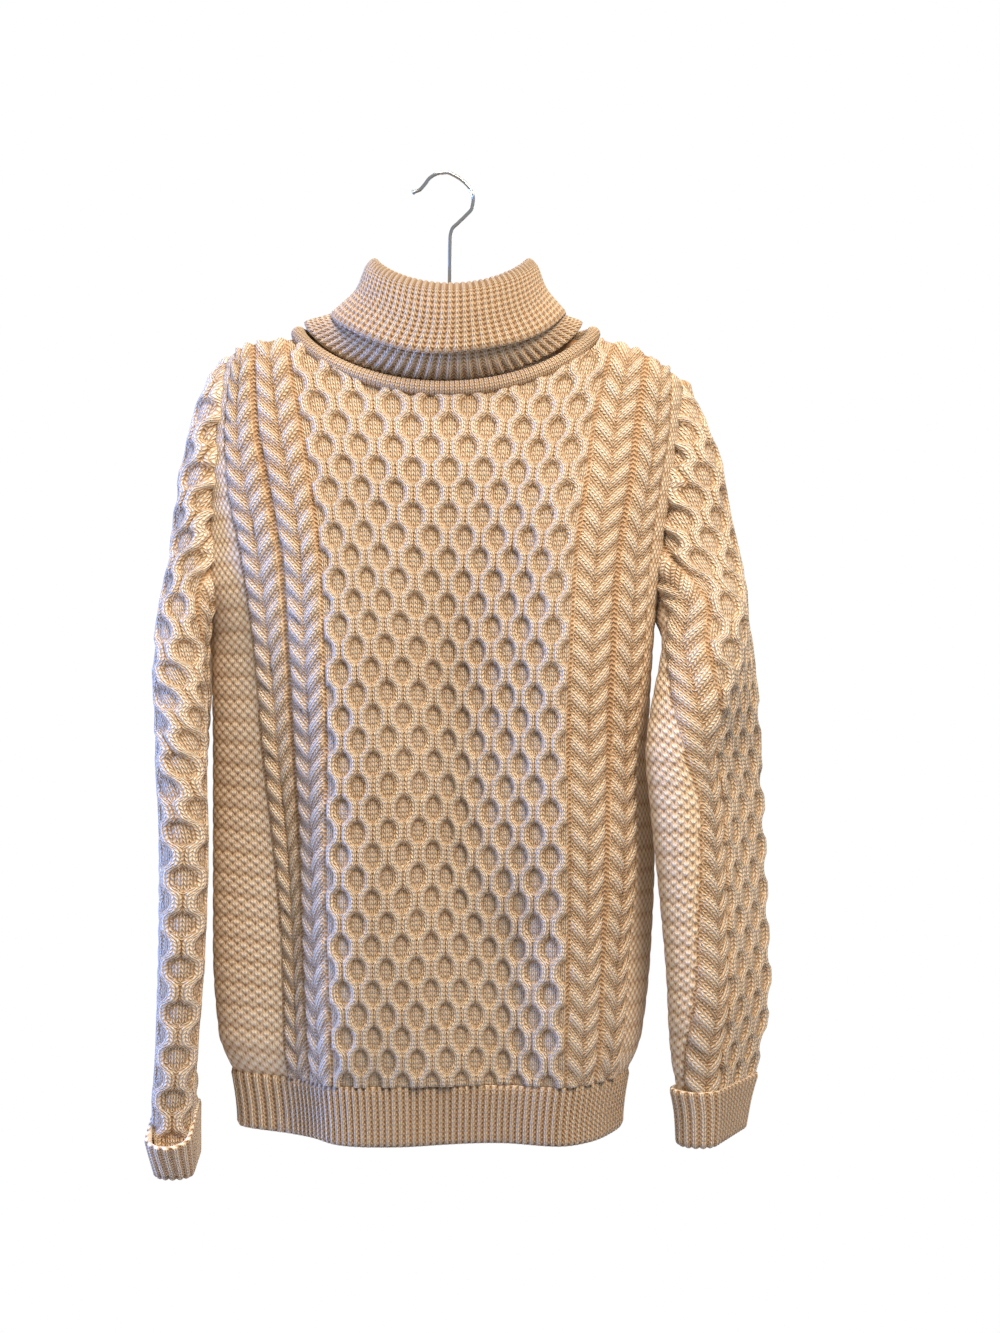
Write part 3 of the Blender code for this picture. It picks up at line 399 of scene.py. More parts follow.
def ribKnit(s, t, rows, rise=None):
    # one raised knit column and one sunk purl column to each rib; s counts ribs and rows counts stitches up
    wave = 0.5 + 0.5 * np.cos(2 * math.pi * s)
    height = (knit["ribRise"] if rise is None else rise) * wave ** 0.45
    # the fourth value is painted light: painted shade in the sunk purl column, lighter on the knit column
    return height, 2 * s + 0.5, rows, 0.02 + 0.78 * wave ** 0.8, np.where(wave < 0.3, 1.0, 0.0)


def hexToLinear(text):
    # each sRGB byte over 255, then the standard curve
    values = [int(text[i:i + 2], 16) / 255 for i in (1, 3, 5)]
    return tuple(v / 12.92 if v <= 0.04045 else ((v + 0.055) / 1.055) ** 2.4 for v in values) + (1.0,)


def gridNormals(points, closed):
    # cross product of the differences along the two directions of the grid
    if closed:
        du = np.roll(points, -1, axis=0) - np.roll(points, 1, axis=0)
    else:
        du = np.gradient(points, axis=0)
    dv = np.gradient(points, axis=1)
    n = np.cross(du, dv)
    return n / np.maximum(np.linalg.norm(n, axis=2, keepdims=True), 1e-9)


def makePiece(name, points, faces, material, uv=None, attributes=None):
    mesh = bpy.data.meshes.new(name)
    mesh.from_pydata((points * millimetre).tolist(), [], faces)
    if uv is not None:
        layer = mesh.uv_layers.new(name="stitches")
        layer.data.foreach_set("uv", uv.astype(np.float32).ravel())
    for key, values in (attributes or {}).items():
        mesh.attributes.new(key, "FLOAT", "POINT").data.foreach_set("value", values.astype(np.float32))
    mesh.polygons.foreach_set("use_smooth", np.ones(len(mesh.polygons), bool))
    mesh.materials.append(material)
    piece = bpy.data.objects.new(name, mesh)
    bpy.context.scene.collection.objects.link(piece)
    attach(piece, "root")
    return piece


def clothShell(name, place, s, t, outward, pattern, material, coarse=4, closed=False, wall=None, back=None):
    # Outer grid: the middle of the cloth plus half the wall and the relief along its normal. Inner grid:
    # every coarse-th point, half the wall the other way, or all points with a relief of their own where back
    # is given. A strip of faces closes the two along their edges.
    wall = knit["wall"] if wall is None else wall
    middle = place(s.ravel(), t.ravel()).reshape(s.shape + (3,))
    normal = gridNormals(middle, closed) * outward
    rise, _, _, paintedLight, kind = pattern(s, t)
    edge = np.ones(s.shape)
    if not closed:
        edge[[0, -1]] = knit["edgeShare"]
    edge[:, [0, -1]] = knit["edgeShare"]
    outer = middle + normal * (wall / 2 + rise * edge)[..., None]
    nu, nv = s.shape
    if back is None:
        backRise, backPaintedLight, backKind = np.zeros(s.shape), np.full(s.shape, 0.5), np.zeros(s.shape)
    else:
        coarse = 1
        backRise, _, _, backPaintedLight, backKind = back(s, t)
    pickU = list(range(0, nu, coarse)) if closed else list(range(0, nu - 1, coarse)) + [nu - 1]
    pickV = list(range(0, nv - 1, coarse)) + [nv - 1]
    picked = np.ix_(pickU, pickV)
    inner = (middle - normal * (wall / 2 + backRise * edge)[..., None])[picked]
    ni, nj = len(pickU), len(pickV)
    index = np.arange(nu * nv).reshape(nu, nv)
    innerIndex = nu * nv + np.arange(ni * nj).reshape(ni, nj)

    def quads(grid, wrap, turn):
        if wrap:
            grid = np.concatenate([grid, grid[:1]], axis=0)
        q = np.stack([grid[:-1, :-1], grid[1:, :-1], grid[1:, 1:], grid[:-1, 1:]], axis=-1).reshape(-1, 4)
        return q if turn > 0 else q[:, ::-1]

    faces = quads(index, closed, outward).tolist() + quads(innerIndex, closed, -outward).tolist()

    def strip(line, picks, near, count):
        # faces with several outer corners and two inner ones
        ends = picks + ([count] if closed and len(line) > count else [])
        return [[int(line[i]) for i in range(a, b + 1)] + [int(near[k + 1]), int(near[k])]
                for k, (a, b) in enumerate(zip(ends[:-1], ends[1:]))]

    def wrapped(line):
        return np.concatenate([line, line[:1]]) if closed else line

    sides = [(strip(wrapped(index[:, 0]), pickU, wrapped(innerIndex[:, 0]), nu), -1),
             (strip(wrapped(index[:, -1]), pickU, wrapped(innerIndex[:, -1]), nu), 1)]
    if not closed:
        sides += [(strip(index[0], pickV, innerIndex[0], nv), 1),
                  (strip(index[-1], pickV, innerIndex[-1], nv), -1)]
    borders = [f if turn * outward > 0 else f[::-1] for made, turn in sides for f in made]

    # stitch coordinates per face corner, with one rule for a whole face, so that nothing smears across a join
    sFull, tFull = (np.concatenate([a, a[:1] if closed else a[:0]], axis=0) for a in (s, t))
    if closed:
        sFull[-1] = s[-1] + (s[1] - s[0])
    uv = [cornerStitches(sFull, tFull, pattern, outward)]
    if back is None:
        uv.append(np.tile(knit["strandTop"], (4 * (len(faces) - len(uv[0]) // 4), 1)))
    else:
        uv.append(cornerStitches(sFull, tFull, back, -outward))
    uv.append(np.tile(knit["strandTop"], (sum(len(f) for f in borders), 1)))
    attributes = {
        "paintedLight": np.concatenate([paintedLight.ravel(), backPaintedLight[picked].ravel()]),
        "purl": np.concatenate([(kind.ravel() == 1.0) * 1.0, (backKind[picked].ravel() == 1.0) * 1.0]),
        "moss": np.concatenate([(kind.ravel() == 2.0) * 1.0, np.zeros(ni * nj)]),
    }
    points = np.concatenate([outer.reshape(-1, 3), inner.reshape(-1, 3)])
    piece = makePiece(name, points, faces + borders, material, np.concatenate(uv), attributes)
    return piece


def cornerStitches(s, t, pattern, turn):
    # the pattern is read a hair's breadth from each face's middle towards each corner, then carried out to
    # the corner
    def pick(a):
        c = np.stack([a[:-1, :-1], a[1:, :-1], a[1:, 1:], a[:-1, 1:]], axis=-1)
        return c, c.mean(axis=-1, keepdims=True)
    sc, sm = pick(s)
    tc, tm = pick(t)
    near = 0.02
    uc, vc = pattern(sm + (sc - sm) * near, tm + (tc - tm) * near)[1:3]
    um, vm = pattern(sm, tm)[1:3]
    u = um + (uc - um) / near
    v = vm + (vc - vm) / near
    jump = (np.abs(uc - um) > 0.2) | (np.abs(vc - vm) > 0.2)
    u = np.where(jump, um, u)
    v = np.where(jump, vm, v)
    uv = np.stack([u, v], axis=-1).reshape(-1, 4, 2)
    return (uv if turn > 0 else uv[:, ::-1]).reshape(-1, 2)


def sweep(name, centres, ups, profile, closed, material, uvScale=(1.0, 1.0)):
    # a profile of side and up amounts carried along centres, capped at both ends unless it closes on itself
    ahead = np.gradient(centres, axis=0)
    if closed:
        ahead = np.roll(centres, -1, axis=0) - np.roll(centres, 1, axis=0)
    ahead /= np.linalg.norm(ahead, axis=1, keepdims=True)
    side = np.cross(ahead, ups)
    side /= np.linalg.norm(side, axis=1, keepdims=True)
    up = np.cross(side, ahead)
    n, m = profile.shape[:2]
    points = centres[:, None] + side[:, None] * profile[..., :1] + up[:, None] * profile[..., 1:]
    index = np.arange(n * m).reshape(n, m)
    index = np.concatenate([index, index[:, :1]], axis=1)
    if closed:
        index = np.concatenate([index, index[:1]], axis=0)
    q = np.stack([index[:-1, :-1], index[1:, :-1], index[1:, 1:], index[:-1, 1:]], axis=-1).reshape(-1, 4)
    faces = q.tolist()
    rows, cols = index.shape[0] - 1, m
    i, j = np.meshgrid(np.arange(rows), np.arange(cols), indexing="ij")
    steps = ((0, 0), (1, 0), (1, 1), (0, 1))
    corners = np.stack([np.stack([i + a, j + b], axis=-1) for a, b in steps], axis=2)
    uv = corners.reshape(-1, 2) * np.array(uvScale)
    if not closed:
        faces += [list(range(m)), list(range((n - 1) * m, n * m))[::-1]]
        uv = np.concatenate([uv, np.zeros((2 * m, 2))])
    return makePiece(name, points.reshape(-1, 3), faces, material, uv)


def addNode(tree, kind, inputs=(), **settings):
    # inputs come in order or by name: a socket or a node is linked, a plain value is set
    node = tree.nodes.new("ShaderNode" + kind)
    for key, value in settings.items():
        setattr(node, key, value)
    for key, value in inputs.items() if isinstance(inputs, dict) else enumerate(inputs):
        if isinstance(value, bpy.types.Node):
            value = value.outputs[0]
        if isinstance(value, bpy.types.NodeSocket):
            tree.links.new(value, node.inputs[key])
        else:
            node.inputs[key].default_value = value
    return node


def newMaterial(name, **values):
    # a material with its own tree; the values go on the shader's own sockets
    material = bpy.data.materials.new(name)
    material.use_nodes = True
    tree = material.node_tree
    shader = tree.nodes["Principled BSDF"]
    for key, value in values.items():
        shader.inputs[key].default_value = value
    return material, tree, shader


wool = {
    # undyed wool, ecru, spun soft and knitted by machine: matt, slightly hairy, brown where light can't reach
    # deep and dark are painted shade, mid is the wool's own ecru, light is a painted highlight
    "deep": "#6E4A30", "dark": "#B58F66", "mid": "#E6CDAB", "light": "#FFF4E2",
    "bump": 0.0018,
}


def woolMaterial(name, settings, fine=1.0):
    material, tree, shader = newMaterial(name, Roughness=0.92)
    shader.inputs["Specular IOR Level"].default_value = 0.12
    shader.inputs["Sheen Weight"].default_value = 0.10
    shader.inputs["Sheen Roughness"].default_value = 0.55
    split = addNode(tree, "SeparateXYZ", (addNode(tree, "UVMap", uv_map="stitches"),))
    u, v = split.outputs[0], split.outputs[1]
    # the first attribute holds painted light and shade for each point; it lightens or darkens the colour
    # below
    read = [addNode(tree, "Attribute", attribute_name=key).outputs["Fac"] for key in ("paintedLight", "purl", "moss")]
    paintedLight, purl, moss = read

    # a knit stitch is a V: two legs beside each other, whose strands climb away from the column's middle
    leg = addNode(tree, "Math", (u,), operation="FRACT")
    leg = addNode(tree, "Math", (leg, 0.5), operation="SUBTRACT")
    leg = addNode(tree, "Math", (leg,), operation="ABSOLUTE")
    plump = addNode(tree, "Math", (leg, 2 * math.pi), operation="MULTIPLY")
    plump = addNode(tree, "Math", (plump,), operation="SINE")
    plump = addNode(tree, "Math", (plump,), operation="ABSOLUTE")
    plump = addNode(tree, "Math", (plump, 0.7), operation="POWER")
    climb = addNode(tree, "Math", (leg, -1.4, v), operation="MULTIPLY_ADD")
    strand = addNode(tree, "Math", (climb, 2 * math.pi), operation="MULTIPLY")
    strand = addNode(tree, "Math", (strand,), operation="COSINE")
    strand = addNode(tree, "Math", (strand, 0.34, 0.66), operation="MULTIPLY_ADD")
    knitHeight = addNode(tree, "Math", (plump, strand), operation="MULTIPLY")

    # a purl stitch is a level bump across the column
    sway = addNode(tree, "Math", (u, 2 * math.pi), operation="MULTIPLY")
    sway = addNode(tree, "Math", (sway,), operation="COSINE")
    level = addNode(tree, "Math", (sway, 0.16, v), operation="MULTIPLY_ADD")
    level = addNode(tree, "Math", (level, 2 * math.pi), operation="MULTIPLY")
    level = addNode(tree, "Math", (level,), operation="COSINE")
    purlHeight = addNode(tree, "Math", (level, 0.35, 0.4), operation="MULTIPLY_ADD")

    # moss stitch sets knit and purl by turns both ways
    seedU = addNode(tree, "Math", (u, math.pi), operation="MULTIPLY")
    seedU = addNode(tree, "Math", (seedU,), operation="SINE")
    seedV = addNode(tree, "Math", (v, math.pi), operation="MULTIPLY")
    seedV = addNode(tree, "Math", (seedV,), operation="SINE")
    seeds = addNode(tree, "Math", (seedU, seedV), operation="MULTIPLY")
    seeds = addNode(tree, "Math", (seeds, 0.42, 0.36), operation="MULTIPLY_ADD")
    mossHeight = addNode(tree, "Math", (knitHeight, 0.4, seeds), operation="MULTIPLY_ADD")

    height = addNode(tree, "Mix", {"Factor": purl, 2: knitHeight, 3: purlHeight})
    height = addNode(tree, "Mix", {"Factor": moss, 2: height, 3: mossHeight})

    # loose hairs and uneven spinning
    place = addNode(tree, "TexCoord").outputs["Object"]
    hair = addNode(tree, "TexNoise", {"Vector": place, "Scale": 900.0 * fine, "Detail": 3.0})
    patchy = addNode(tree, "TexNoise", {"Vector": place, "Scale": 9.0, "Detail": 2.0})
    rough = addNode(tree, "Math", (hair, 0.5, height), operation="MULTIPLY_ADD")
    bump = addNode(tree, "Bump", {"Strength": 1.0, "Distance": settings["bump"], "Height": rough})
    tree.links.new(bump.outputs[0], shader.inputs["Normal"])

    # colour with painted light: painted shade, deep, between strands and below cords, and a painted highlight
    # on top of them
    strands = addNode(tree, "Math", (height, 0.66, 0.34), operation="MULTIPLY_ADD")
    cords = addNode(tree, "Math", (paintedLight, 0.62, 0.38), operation="MULTIPLY_ADD")
    tone = addNode(tree, "Math", (strands, cords), operation="MULTIPLY")
    tone = addNode(tree, "Math", (patchy, 0.16, tone), operation="MULTIPLY_ADD")
    tone = addNode(tree, "Math", (hair, 0.14, tone), operation="MULTIPLY_ADD")
    ramp = addNode(tree, "ValToRGB", (tone,))
    stops = ramp.color_ramp.elements
    stops[0].position, stops[0].color = 0.22, hexToLinear(settings["deep"])
    stops[1].position, stops[1].color = 0.98, hexToLinear(settings["light"])
    for at, key in ((0.42, "dark"), (0.66, "mid")):
        stops.new(at).color = hexToLinear(settings[key])
    tree.links.new(ramp.outputs[0], shader.inputs["Base Color"])
    return material


woolCloth = woolMaterial("ecru wool knit", wool)
woolFine = woolMaterial("ecru wool fine knit", dict(wool, bump=0.0014), 1.4)

# drawn steel wire, polished: bright, with faint drawing marks and small dulled patches
steelWire, tree, shader = newMaterial("polished steel wire", Metallic=1.0)
shader.inputs["Base Color"].default_value = hexToLinear("#C9C9C7")
place = addNode(tree, "TexCoord").outputs["Object"]
marks = addNode(tree, "TexNoise", {"Vector": place, "Scale": 700.0, "Detail": 3.0})
dull = addNode(tree, "MapRange", {"Value": marks, "To Min": 0.10, "To Max": 0.26})
tree.links.new(dull.outputs[0], shader.inputs["Roughness"])

# beech hanger, turned and clear lacquered: pale brown with fine lengthwise grain
beech, tree, shader = newMaterial("lacquered beech", Roughness=0.42)
place = addNode(tree, "TexCoord").outputs["Object"]
stretch = addNode(tree, "Mapping", {"Vector": place, "Scale": (14.0, 260.0, 260.0)})
grain = addNode(tree, "TexNoise", {"Vector": stretch, "Scale": 1.0, "Detail": 5.0})
ramp = addNode(tree, "ValToRGB", (grain,))
ramp.color_ramp.elements[0].color = hexToLinear("#8E6338")
ramp.color_ramp.elements[1].color = hexToLinear("#C79A63")
tree.links.new(ramp.outputs[0], shader.inputs["Base Color"])
print("materials made")


def neckEdge(s, drop):
    # the neck's side height less a scoop that runs along the underside of the welt
    return body["neckSideZ"] - drop * np.maximum(0.0, 1 - (s / body["neckHalf"]) ** 2) ** 0.7


panels = {
    "front": {"side": -1, "neckDrop": 49.0, "columns": 262, "rows": 310, "flat": (0.52, 0.61), "area": 0.285},
    "back": {"side": 1, "neckDrop": 8.0, "columns": 222, "rows": 262, "flat": (0.52, 0.61), "area": 0.305},
}
panelHalf = body["across"][-1] - 0.1
for name, panel in panels.items():
    s = np.linspace(-panelHalf, panelHalf, panel["columns"])
    shoulder = topZ(s)
    top = np.minimum(shoulder, neckEdge(s, panel["neckDrop"]))
    share = np.linspace(0.0, 1.0, panel["rows"])[None, :]
    low = body["hemTop"] + 0.1
    z = low + (top[:, None] - low) * share
    s = np.repeat(s[:, None], panel["rows"], axis=1)

    def placePanel(s, z, side=panel["side"]):
        # the panel's own surface with shallow upright waves of soft cloth, none at the edges
        p = bodyPlace(s, z, side)
        calm = np.clip((panelHalf - np.abs(s)) / 60.0, 0, 1) * np.clip((-150.0 - z) / 120.0, 0, 1)
        wave = 2.2 * np.sin(s / 37.0 + z / 160.0 + 0.6) + 1.4 * np.sin(s / 21.0 - z / 90.0)
        p[:, 1] += side * calm * wave
        return p

    def knitPanel(s, z):
        # rows sag and columns sway a little, as in hand washed knitting
        swayed = s + 1.3 * np.sin(z / 61.0 + s / 90.0)
        sagged = z + 1.5 * np.sin(s / 47.0) + 1.0 * np.sin(s / 19.0 + z / 83.0)
        return panelKnit(swayed, sagged, body["honeyHalf"], body["cables"], body["moss"])

    piece = clothShell("knit_" + name, placePanel, s, z, -panel["side"], knitPanel, woolCloth)
    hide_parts(name)
    print(name, "made")


def sleevePiece(name, sleeve, node):
    # a ring for each height, and at the head a few more rows that close in on the tip
    mirror = sleeve["mirror"]
    rows, capRows = sleeveGrid["rows"], sleeveGrid["capRows"]
    z = np.linspace(sleeve["foot"], sleeve["cap"], rows)
    z = np.concatenate([z, np.full(capRows, sleeve["cap"])])
    columns = np.linspace(-1.0, 1.0, sleeveGrid["columns"])
    numbers = tableAt(sleeve["rings"], z)
    s = columns[:, None] * (numbers[None, :, 7] - 0.15)
    t = np.repeat(z[None, :], len(columns), axis=0)
    finish = np.concatenate([np.zeros(rows), np.linspace(0, 1, capRows + 1)[1:]])[None, :]

    def place(s, z):
        numbers = tableAt(sleeve["rings"], z)
        share = numbers[:, 5] + s / numbers[:, 7] * numbers[:, 6] / 2
        x, y = ringPoint(share, numbers)
        p = np.stack([mirror * x, y, z], axis=1)
        # near the armhole the cloth's edge turns in to meet the body's edge
        g = np.clip((np.abs(s / numbers[:, 7]) - 0.80) / 0.20, 0, 1) ** 2
        opened = np.clip((1.0 - numbers[:, 6]) / 0.2, 0, 1)
        side = np.where(s > 0, -1.0, 1.0)
        edgeFront = bodyPlace(np.full(len(z), mirror * 259.0), z, -1)
        edgeBack = edgeFront * np.array((1.0, -1.0, 1.0))
        edge = np.where(side[:, None] < 0, edgeFront, edgeBack)
        edge[:, 0] += mirror * 1.5
        return p + (edge - p) * (g * opened)[:, None]

    def placed(s, z):
        p = place(s, z).reshape(len(columns), -1, 3)
        p += (np.array(sleeve["tip"]) - p) * (1 - np.cos(finish * math.pi / 2))[..., None]
        p[..., 2] += 5.0 * np.sin(finish * math.pi / 2) * (1 - finish)
        return p.reshape(-1, 3)

    def pattern(s, z):
        swayed = s + 1.0 * np.sin(z / 57.0 + s / 80.0)
        sagged = z + 1.3 * np.sin(s / 33.0 + 0.4)
        rise, *rest = panelKnit(swayed, sagged, sleeve["honeyHalf"], (sleeve["cable"],), sleeve["moss"])
        # the relief dies away where the sleeve's head is gathered into the shoulder seam
        return (rise * np.clip((sleeve["cap"] + 6.0 - z) / 45.0, 0.1, 1.0), *rest)

    piece = clothShell(name, placed, s, t, -mirror, pattern, woolCloth)
    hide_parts(node)
    print(name, "made")


sleevePiece("knit_sleeve_left", leftSleeve, "sleeve_left")
sleevePiece("knit_sleeve_right", rightSleeve, "sleeve_right")


for name, side in (("hem_front", -1), ("hem_back", 1)):
    hemHalf = hem["ribs"] / 2 - 0.01
    s = np.linspace(-hemHalf, hemHalf, hem["ribs"] * hem["pointsPerRib"] + 1)
    z = np.linspace(body["hemBottom"], body["hemTop"] - 0.1, hem["rows"])
    s, z = np.meshgrid(s, z, indexing="ij")

    def placeHem(s, z, side=side):
        # carries on from the panel's bottom edge and draws in; its lower edge waves a little
        drop = (body["hemTop"] - z) / (body["hemTop"] - body["hemBottom"])
        p = bodyPlace(s * 2 * body["across"][-1] / hem["ribs"], np.full(len(s), body["hemTop"]), side)
        narrow = 1 - hem["drawIn"] * np.sin(drop * math.pi / 2)
        p[:, 0] = hem["middleX"] + (p[:, 0] - hem["middleX"]) * narrow
        p[:, 1] *= 1 - 0.03 * drop
        p[:, 2] = z + hem["wave"] * drop * np.sin(s / 5.1)
        return p

    def knitHem(s, z):
        return ribKnit(s, z, z / knit["course"])

    piece = clothShell("knit_" + name, placeHem, s, z, -side, knitHem, woolCloth, coarse=5)
    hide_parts(name)
print("hem made")


def cuffPiece(name, sleeve, node):
    mirror = sleeve["mirror"]
    foot = sleeve["cuffFoot"]
    s = np.linspace(-cuff["ribs"] / 2, cuff["ribs"] / 2, cuff["ribs"] * cuff["pointsPerRib"], endpoint=False)
    t = np.concatenate([np.linspace(0, 1, 8)[:-1], np.linspace(1, 2, 18)])
    s, t = np.meshgrid(s, t, indexing="ij")

    def place(s, t):
        # round the turn on a half circle, then up outside the sleeve, leaning out in front
        rise = np.clip(t - 1.0, 0.0, 1.0)
        numbers = tableAt(sleeve["rings"], foot + cuff["tall"] * rise)[:, :7].copy()
        out = cuff["turn"] * (1 - np.cos(np.clip(t, 0, 1) * math.pi)) + cuff["flare"] * rise
        share = numbers[:, 5] + s / cuff["ribs"]
        front = np.maximum(np.cos((share - 0.25) * 2 * math.pi), 0.0) ** 2
        lean = sleeve["cuffLean"] * front * rise
        numbers[:, 2] += out
        numbers[:, 3] += out
        x, y = ringPoint(share, numbers)
        z = foot - cuff["turn"] * np.sin(np.clip(t, 0, 1) * math.pi) + cuff["tall"] * rise - lean * 0.5
        return np.stack([mirror * x, y - lean, z], axis=1)

    def pattern(s, t):
        return ribKnit(s, t, t * cuff["tall"] / knit["course"], cuff["ribRise"])

    piece = clothShell(name, place, s, t, -mirror, pattern, woolCloth, coarse=5, closed=True,
                       wall=cuff["wall"])
    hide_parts(node)


cuffPiece("knit_cuff_left", leftSleeve, "cuff_left")
cuffPiece("knit_cuff_right", rightSleeve, "cuff_right")
print("cuffs made")


columns = collar["ribs"] * collar["pointsPerRib"]
s = np.linspace(-collar["ribs"] / 2, collar["ribs"] / 2, columns, endpoint=False)
t = np.linspace(0.0, len(collar["rings"]) - 1.0, collar["rows"])
s, t = np.meshgrid(s, t, indexing="ij")


def placeCollar(s, t):
    # rings run from the welt up to the fold and down outside; the angle goes round by the rib count
    rows = smooth(range(len(collar["rings"])), collar["rings"], t)
    p = ringPlace(s / collar["ribs"] * 2 * math.pi, rows)
    p[:, 2] += 0.8 * np.sin(s / 2.3) * np.clip(t - 5.0, 0, 1)
    return p


def eyelets(s, t, knitted):
    # a small hole in each sunk column, in the first row above the welt
    rise, u, v, paintedLight, kind = knitted
    hole = np.exp(-((t - 0.45) / 0.16) ** 2) * (0.5 - 0.5 * np.cos(2 * math.pi * s)) ** 2
    # each hole is dented and darkened with painted shade
    return rise - 1.2 * hole, u, v, paintedLight * (1 - 0.9 * hole), kind


def knitCollar(s, t):
    return ribKnit(s, t, t * collar["rowsPerRing"], collar["ribRise"])


def knitCollarBack(s, t):
    # a column that is sunk on one face stands out on the other
    rise, u, v, paintedLight, kind = eyelets(s + 0.5, t, knitCollar(s + 0.5, t))
    # this face, the stand under the fold, is given lighter painted light: its painted shade is lifted to no
    # darker than 0.25
    return rise, u, v, 0.25 + 0.75 * paintedLight, kind


collarPiece = clothShell("knit_collar", placeCollar, s, t, -1, knitCollar, woolCloth, closed=True,
                         back=knitCollarBack)
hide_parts("collar")
print("collar made")


# a rolled tube whose radius rises and falls once for each column of stitches
angles = np.linspace(0, 2 * math.pi, welt["columns"] * welt["stepsPerColumn"], endpoint=False)
centres = ringPlace(angles, np.broadcast_to(np.array(welt["ring"]), (len(angles), 7)))
turn = np.linspace(0, 2 * math.pi, welt["pointsRound"], endpoint=False)
column = np.abs(np.sin(angles * welt["columns"] / 2))
size = welt["radius"] + welt["rise"] * column ** 0.7
profile = size[:, None, None] * np.stack([np.cos(turn), np.sin(turn)], axis=1)[None]
ups = np.broadcast_to(np.array((0.0, 0.0, 1.0)), (len(angles), 3))
weltPiece = sweep("knit_welt", centres, ups, profile, True, woolFine, (1 / welt["stepsPerColumn"], 0.5))
# painted light: painted shade between the welt's columns, lighter on their tops
paintedLight = np.repeat(0.15 + 0.5 * column, welt["pointsRound"]).astype(np.float32)
weltPiece.data.attributes.new("paintedLight", "FLOAT", "POINT").data.foreach_set("value", paintedLight)
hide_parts("neck_welt")
print("welt made")


# a round wire along the hook's path, with a ball at its tip
path = np.array(hanger["hookPath"])
dense = smooth(range(len(path)), path, np.linspace(0, len(path) - 1, 180))
dense = np.concatenate([dense[:1] + (dense[:1] - dense[1:2]) * np.linspace(4.2, 0.6, 9)[:, None], dense])
centres = np.stack([dense[:, 0], np.zeros(len(dense)), dense[:, 1]], axis=1)
size = np.full(len(dense), hanger["wire"])
along = np.linspace(-1, 1, 13)               # through the ball at the tip
ball = hanger["ball"] * np.sqrt(np.maximum(1 - along ** 2, 0.02))
size[:13] = np.maximum(ball, np.where(along > 0, hanger["wire"], 0.3))
turn = np.linspace(0, 2 * math.pi, 20, endpoint=False)
profile = size[:, None, None] * np.stack([np.cos(turn), np.sin(turn)], axis=1)[None]
ups = np.broadcast_to(np.array((0.0, 1.0, 0.0)), (len(dense), 3))
hookPiece = sweep("steel_hook", centres, ups, profile, False, steelWire)
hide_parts("hook")

# an oval bar that lies just under the shoulder seams and narrows at both ends
places = np.array((-186.0, -166.0, -140.0, -112.0, 0.0, 112.0, 140.0, 166.0, 186.0))
seam = bodyPlace(places, topZ(places), -1)
seam[:, 2] -= 2.0
seam[[2, 6], 2] -= 2.0
seam[3:6, 2] = (hanger["barShoulder"], hanger["barTop"], hanger["barShoulder"])
x = np.linspace(seam[0, 0], seam[-1, 0], hanger["barSteps"])
centres = np.stack([x, np.zeros(len(x)), smooth(seam[:, 0], seam[:, 2], x) - hanger["barTall"]], axis=1)
fromMiddle = np.abs(x - (x[0] + x[-1]) / 2) / ((x[-1] - x[0]) / 2 + 1.5)
size = np.sqrt(np.clip(1 - fromMiddle ** 24, 0.02, 1))
turn = np.linspace(0, 2 * math.pi, 24, endpoint=False)
oval = np.stack([hanger["barWide"] * np.cos(turn), hanger["barTall"] * np.sin(turn)], axis=1)
ups = np.broadcast_to(np.array((0.0, 0.0, 1.0)), (len(x), 3))
barPiece = sweep("beech_bar", centres, ups, size[:, None, None] * oval[None], False, beech)
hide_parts("shoulder_bar")
print("hanger made")


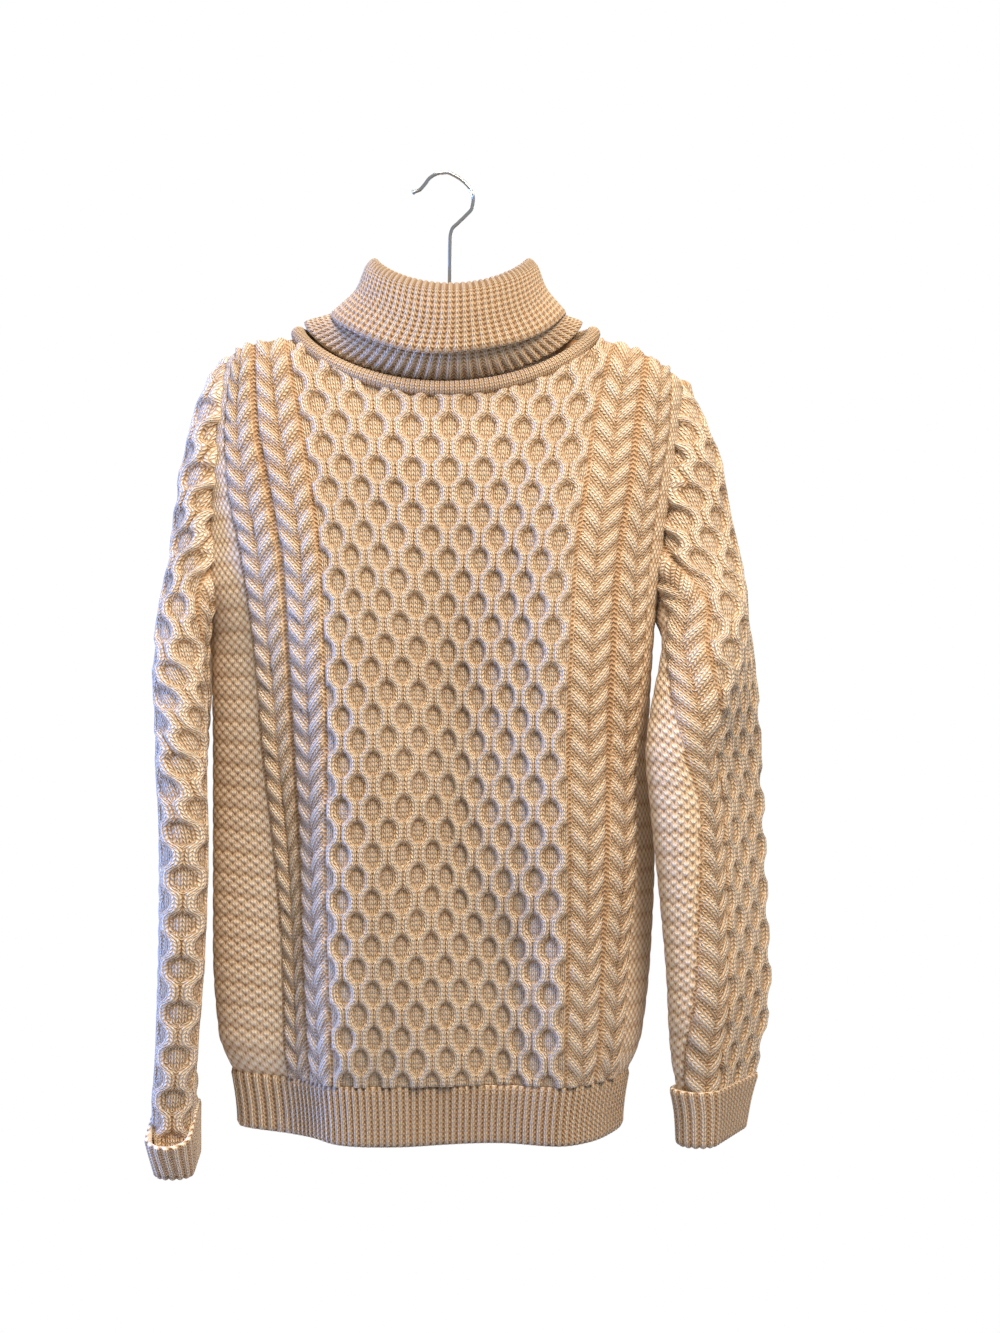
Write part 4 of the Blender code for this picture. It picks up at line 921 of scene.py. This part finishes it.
# a plain floor well below the sweater, in metres, and light that is white only where the camera sees it
floorHalf = 0.8
floorZ = -1.5
floorCorners = [(floorHalf * x, floorHalf * y, floorZ) for x, y in ((-1, -1), (1, -1), (1, 1), (-1, 1))]
floorMesh = bpy.data.meshes.new("floor")
floorMesh.from_pydata(floorCorners, [], [(0, 1, 2, 3)])
floor = bpy.data.objects.new("floor", floorMesh)
bpy.context.scene.collection.objects.link(floor)
paper, tree, shader = newMaterial("white backdrop paper", Roughness=0.9)
shader.inputs["Base Color"].default_value = hexToLinear("#F6F6F4")
floorMesh.materials.append(paper)

world = bpy.data.worlds.new("studio")
world.use_nodes = True
bpy.context.scene.world = world
tree = world.node_tree
white = tree.nodes["Background"]
white.inputs["Color"].default_value = (1.0, 1.0, 1.0, 1.0)
white.inputs["Strength"].default_value = 1.0
fill = addNode(tree, "Background", {"Color": hexToLinear("#EEF2FA"), "Strength": 0.42})
seen = addNode(tree, "LightPath").outputs["Is Camera Ray"]
mix = addNode(tree, "MixShader", (seen, fill, white))
tree.links.new(mix.outputs[0], tree.nodes["World Output"].inputs[0])
bpy.context.scene.view_settings.view_transform = "Standard"

lights = {
    # name: place, point it faces, size, power, colour
    "windowCool": ((-2.2, -0.2, -0.2), (0.0, 0.0, -0.45), 0.8, 92.0, "#7FA4FF"),
    "roomWarm": ((0.8, -1.5, 1.1), (0.0, 0.0, -0.45), 0.7, 51.0, "#FFE8CE"),
    "topSoft": ((0.0, -0.6, 1.3), (0.0, 0.0, -0.3), 0.7, 20.0, "#FFF6EA"),
    "backSoft": ((0.3, 1.9, 0.6), (0.0, 0.0, -0.45), 1.2, 18.0, "#FFFFFF"),
}
for name, (at, aim, width, power, colour) in lights.items():
    lamp = bpy.data.lights.new(name, "AREA")
    lamp.size = width
    lamp.energy = power
    lamp.color = hexToLinear(colour)[:3]
    holder = bpy.data.objects.new(name, lamp)
    holder.location = at
    way = np.array(aim) - np.array(at)
    flatWay = math.hypot(way[0], way[1])
    holder.rotation_euler = (math.atan2(flatWay, -way[2]), 0.0, math.atan2(-way[0], way[1]))
    bpy.context.scene.collection.objects.link(holder)
print("lights set")
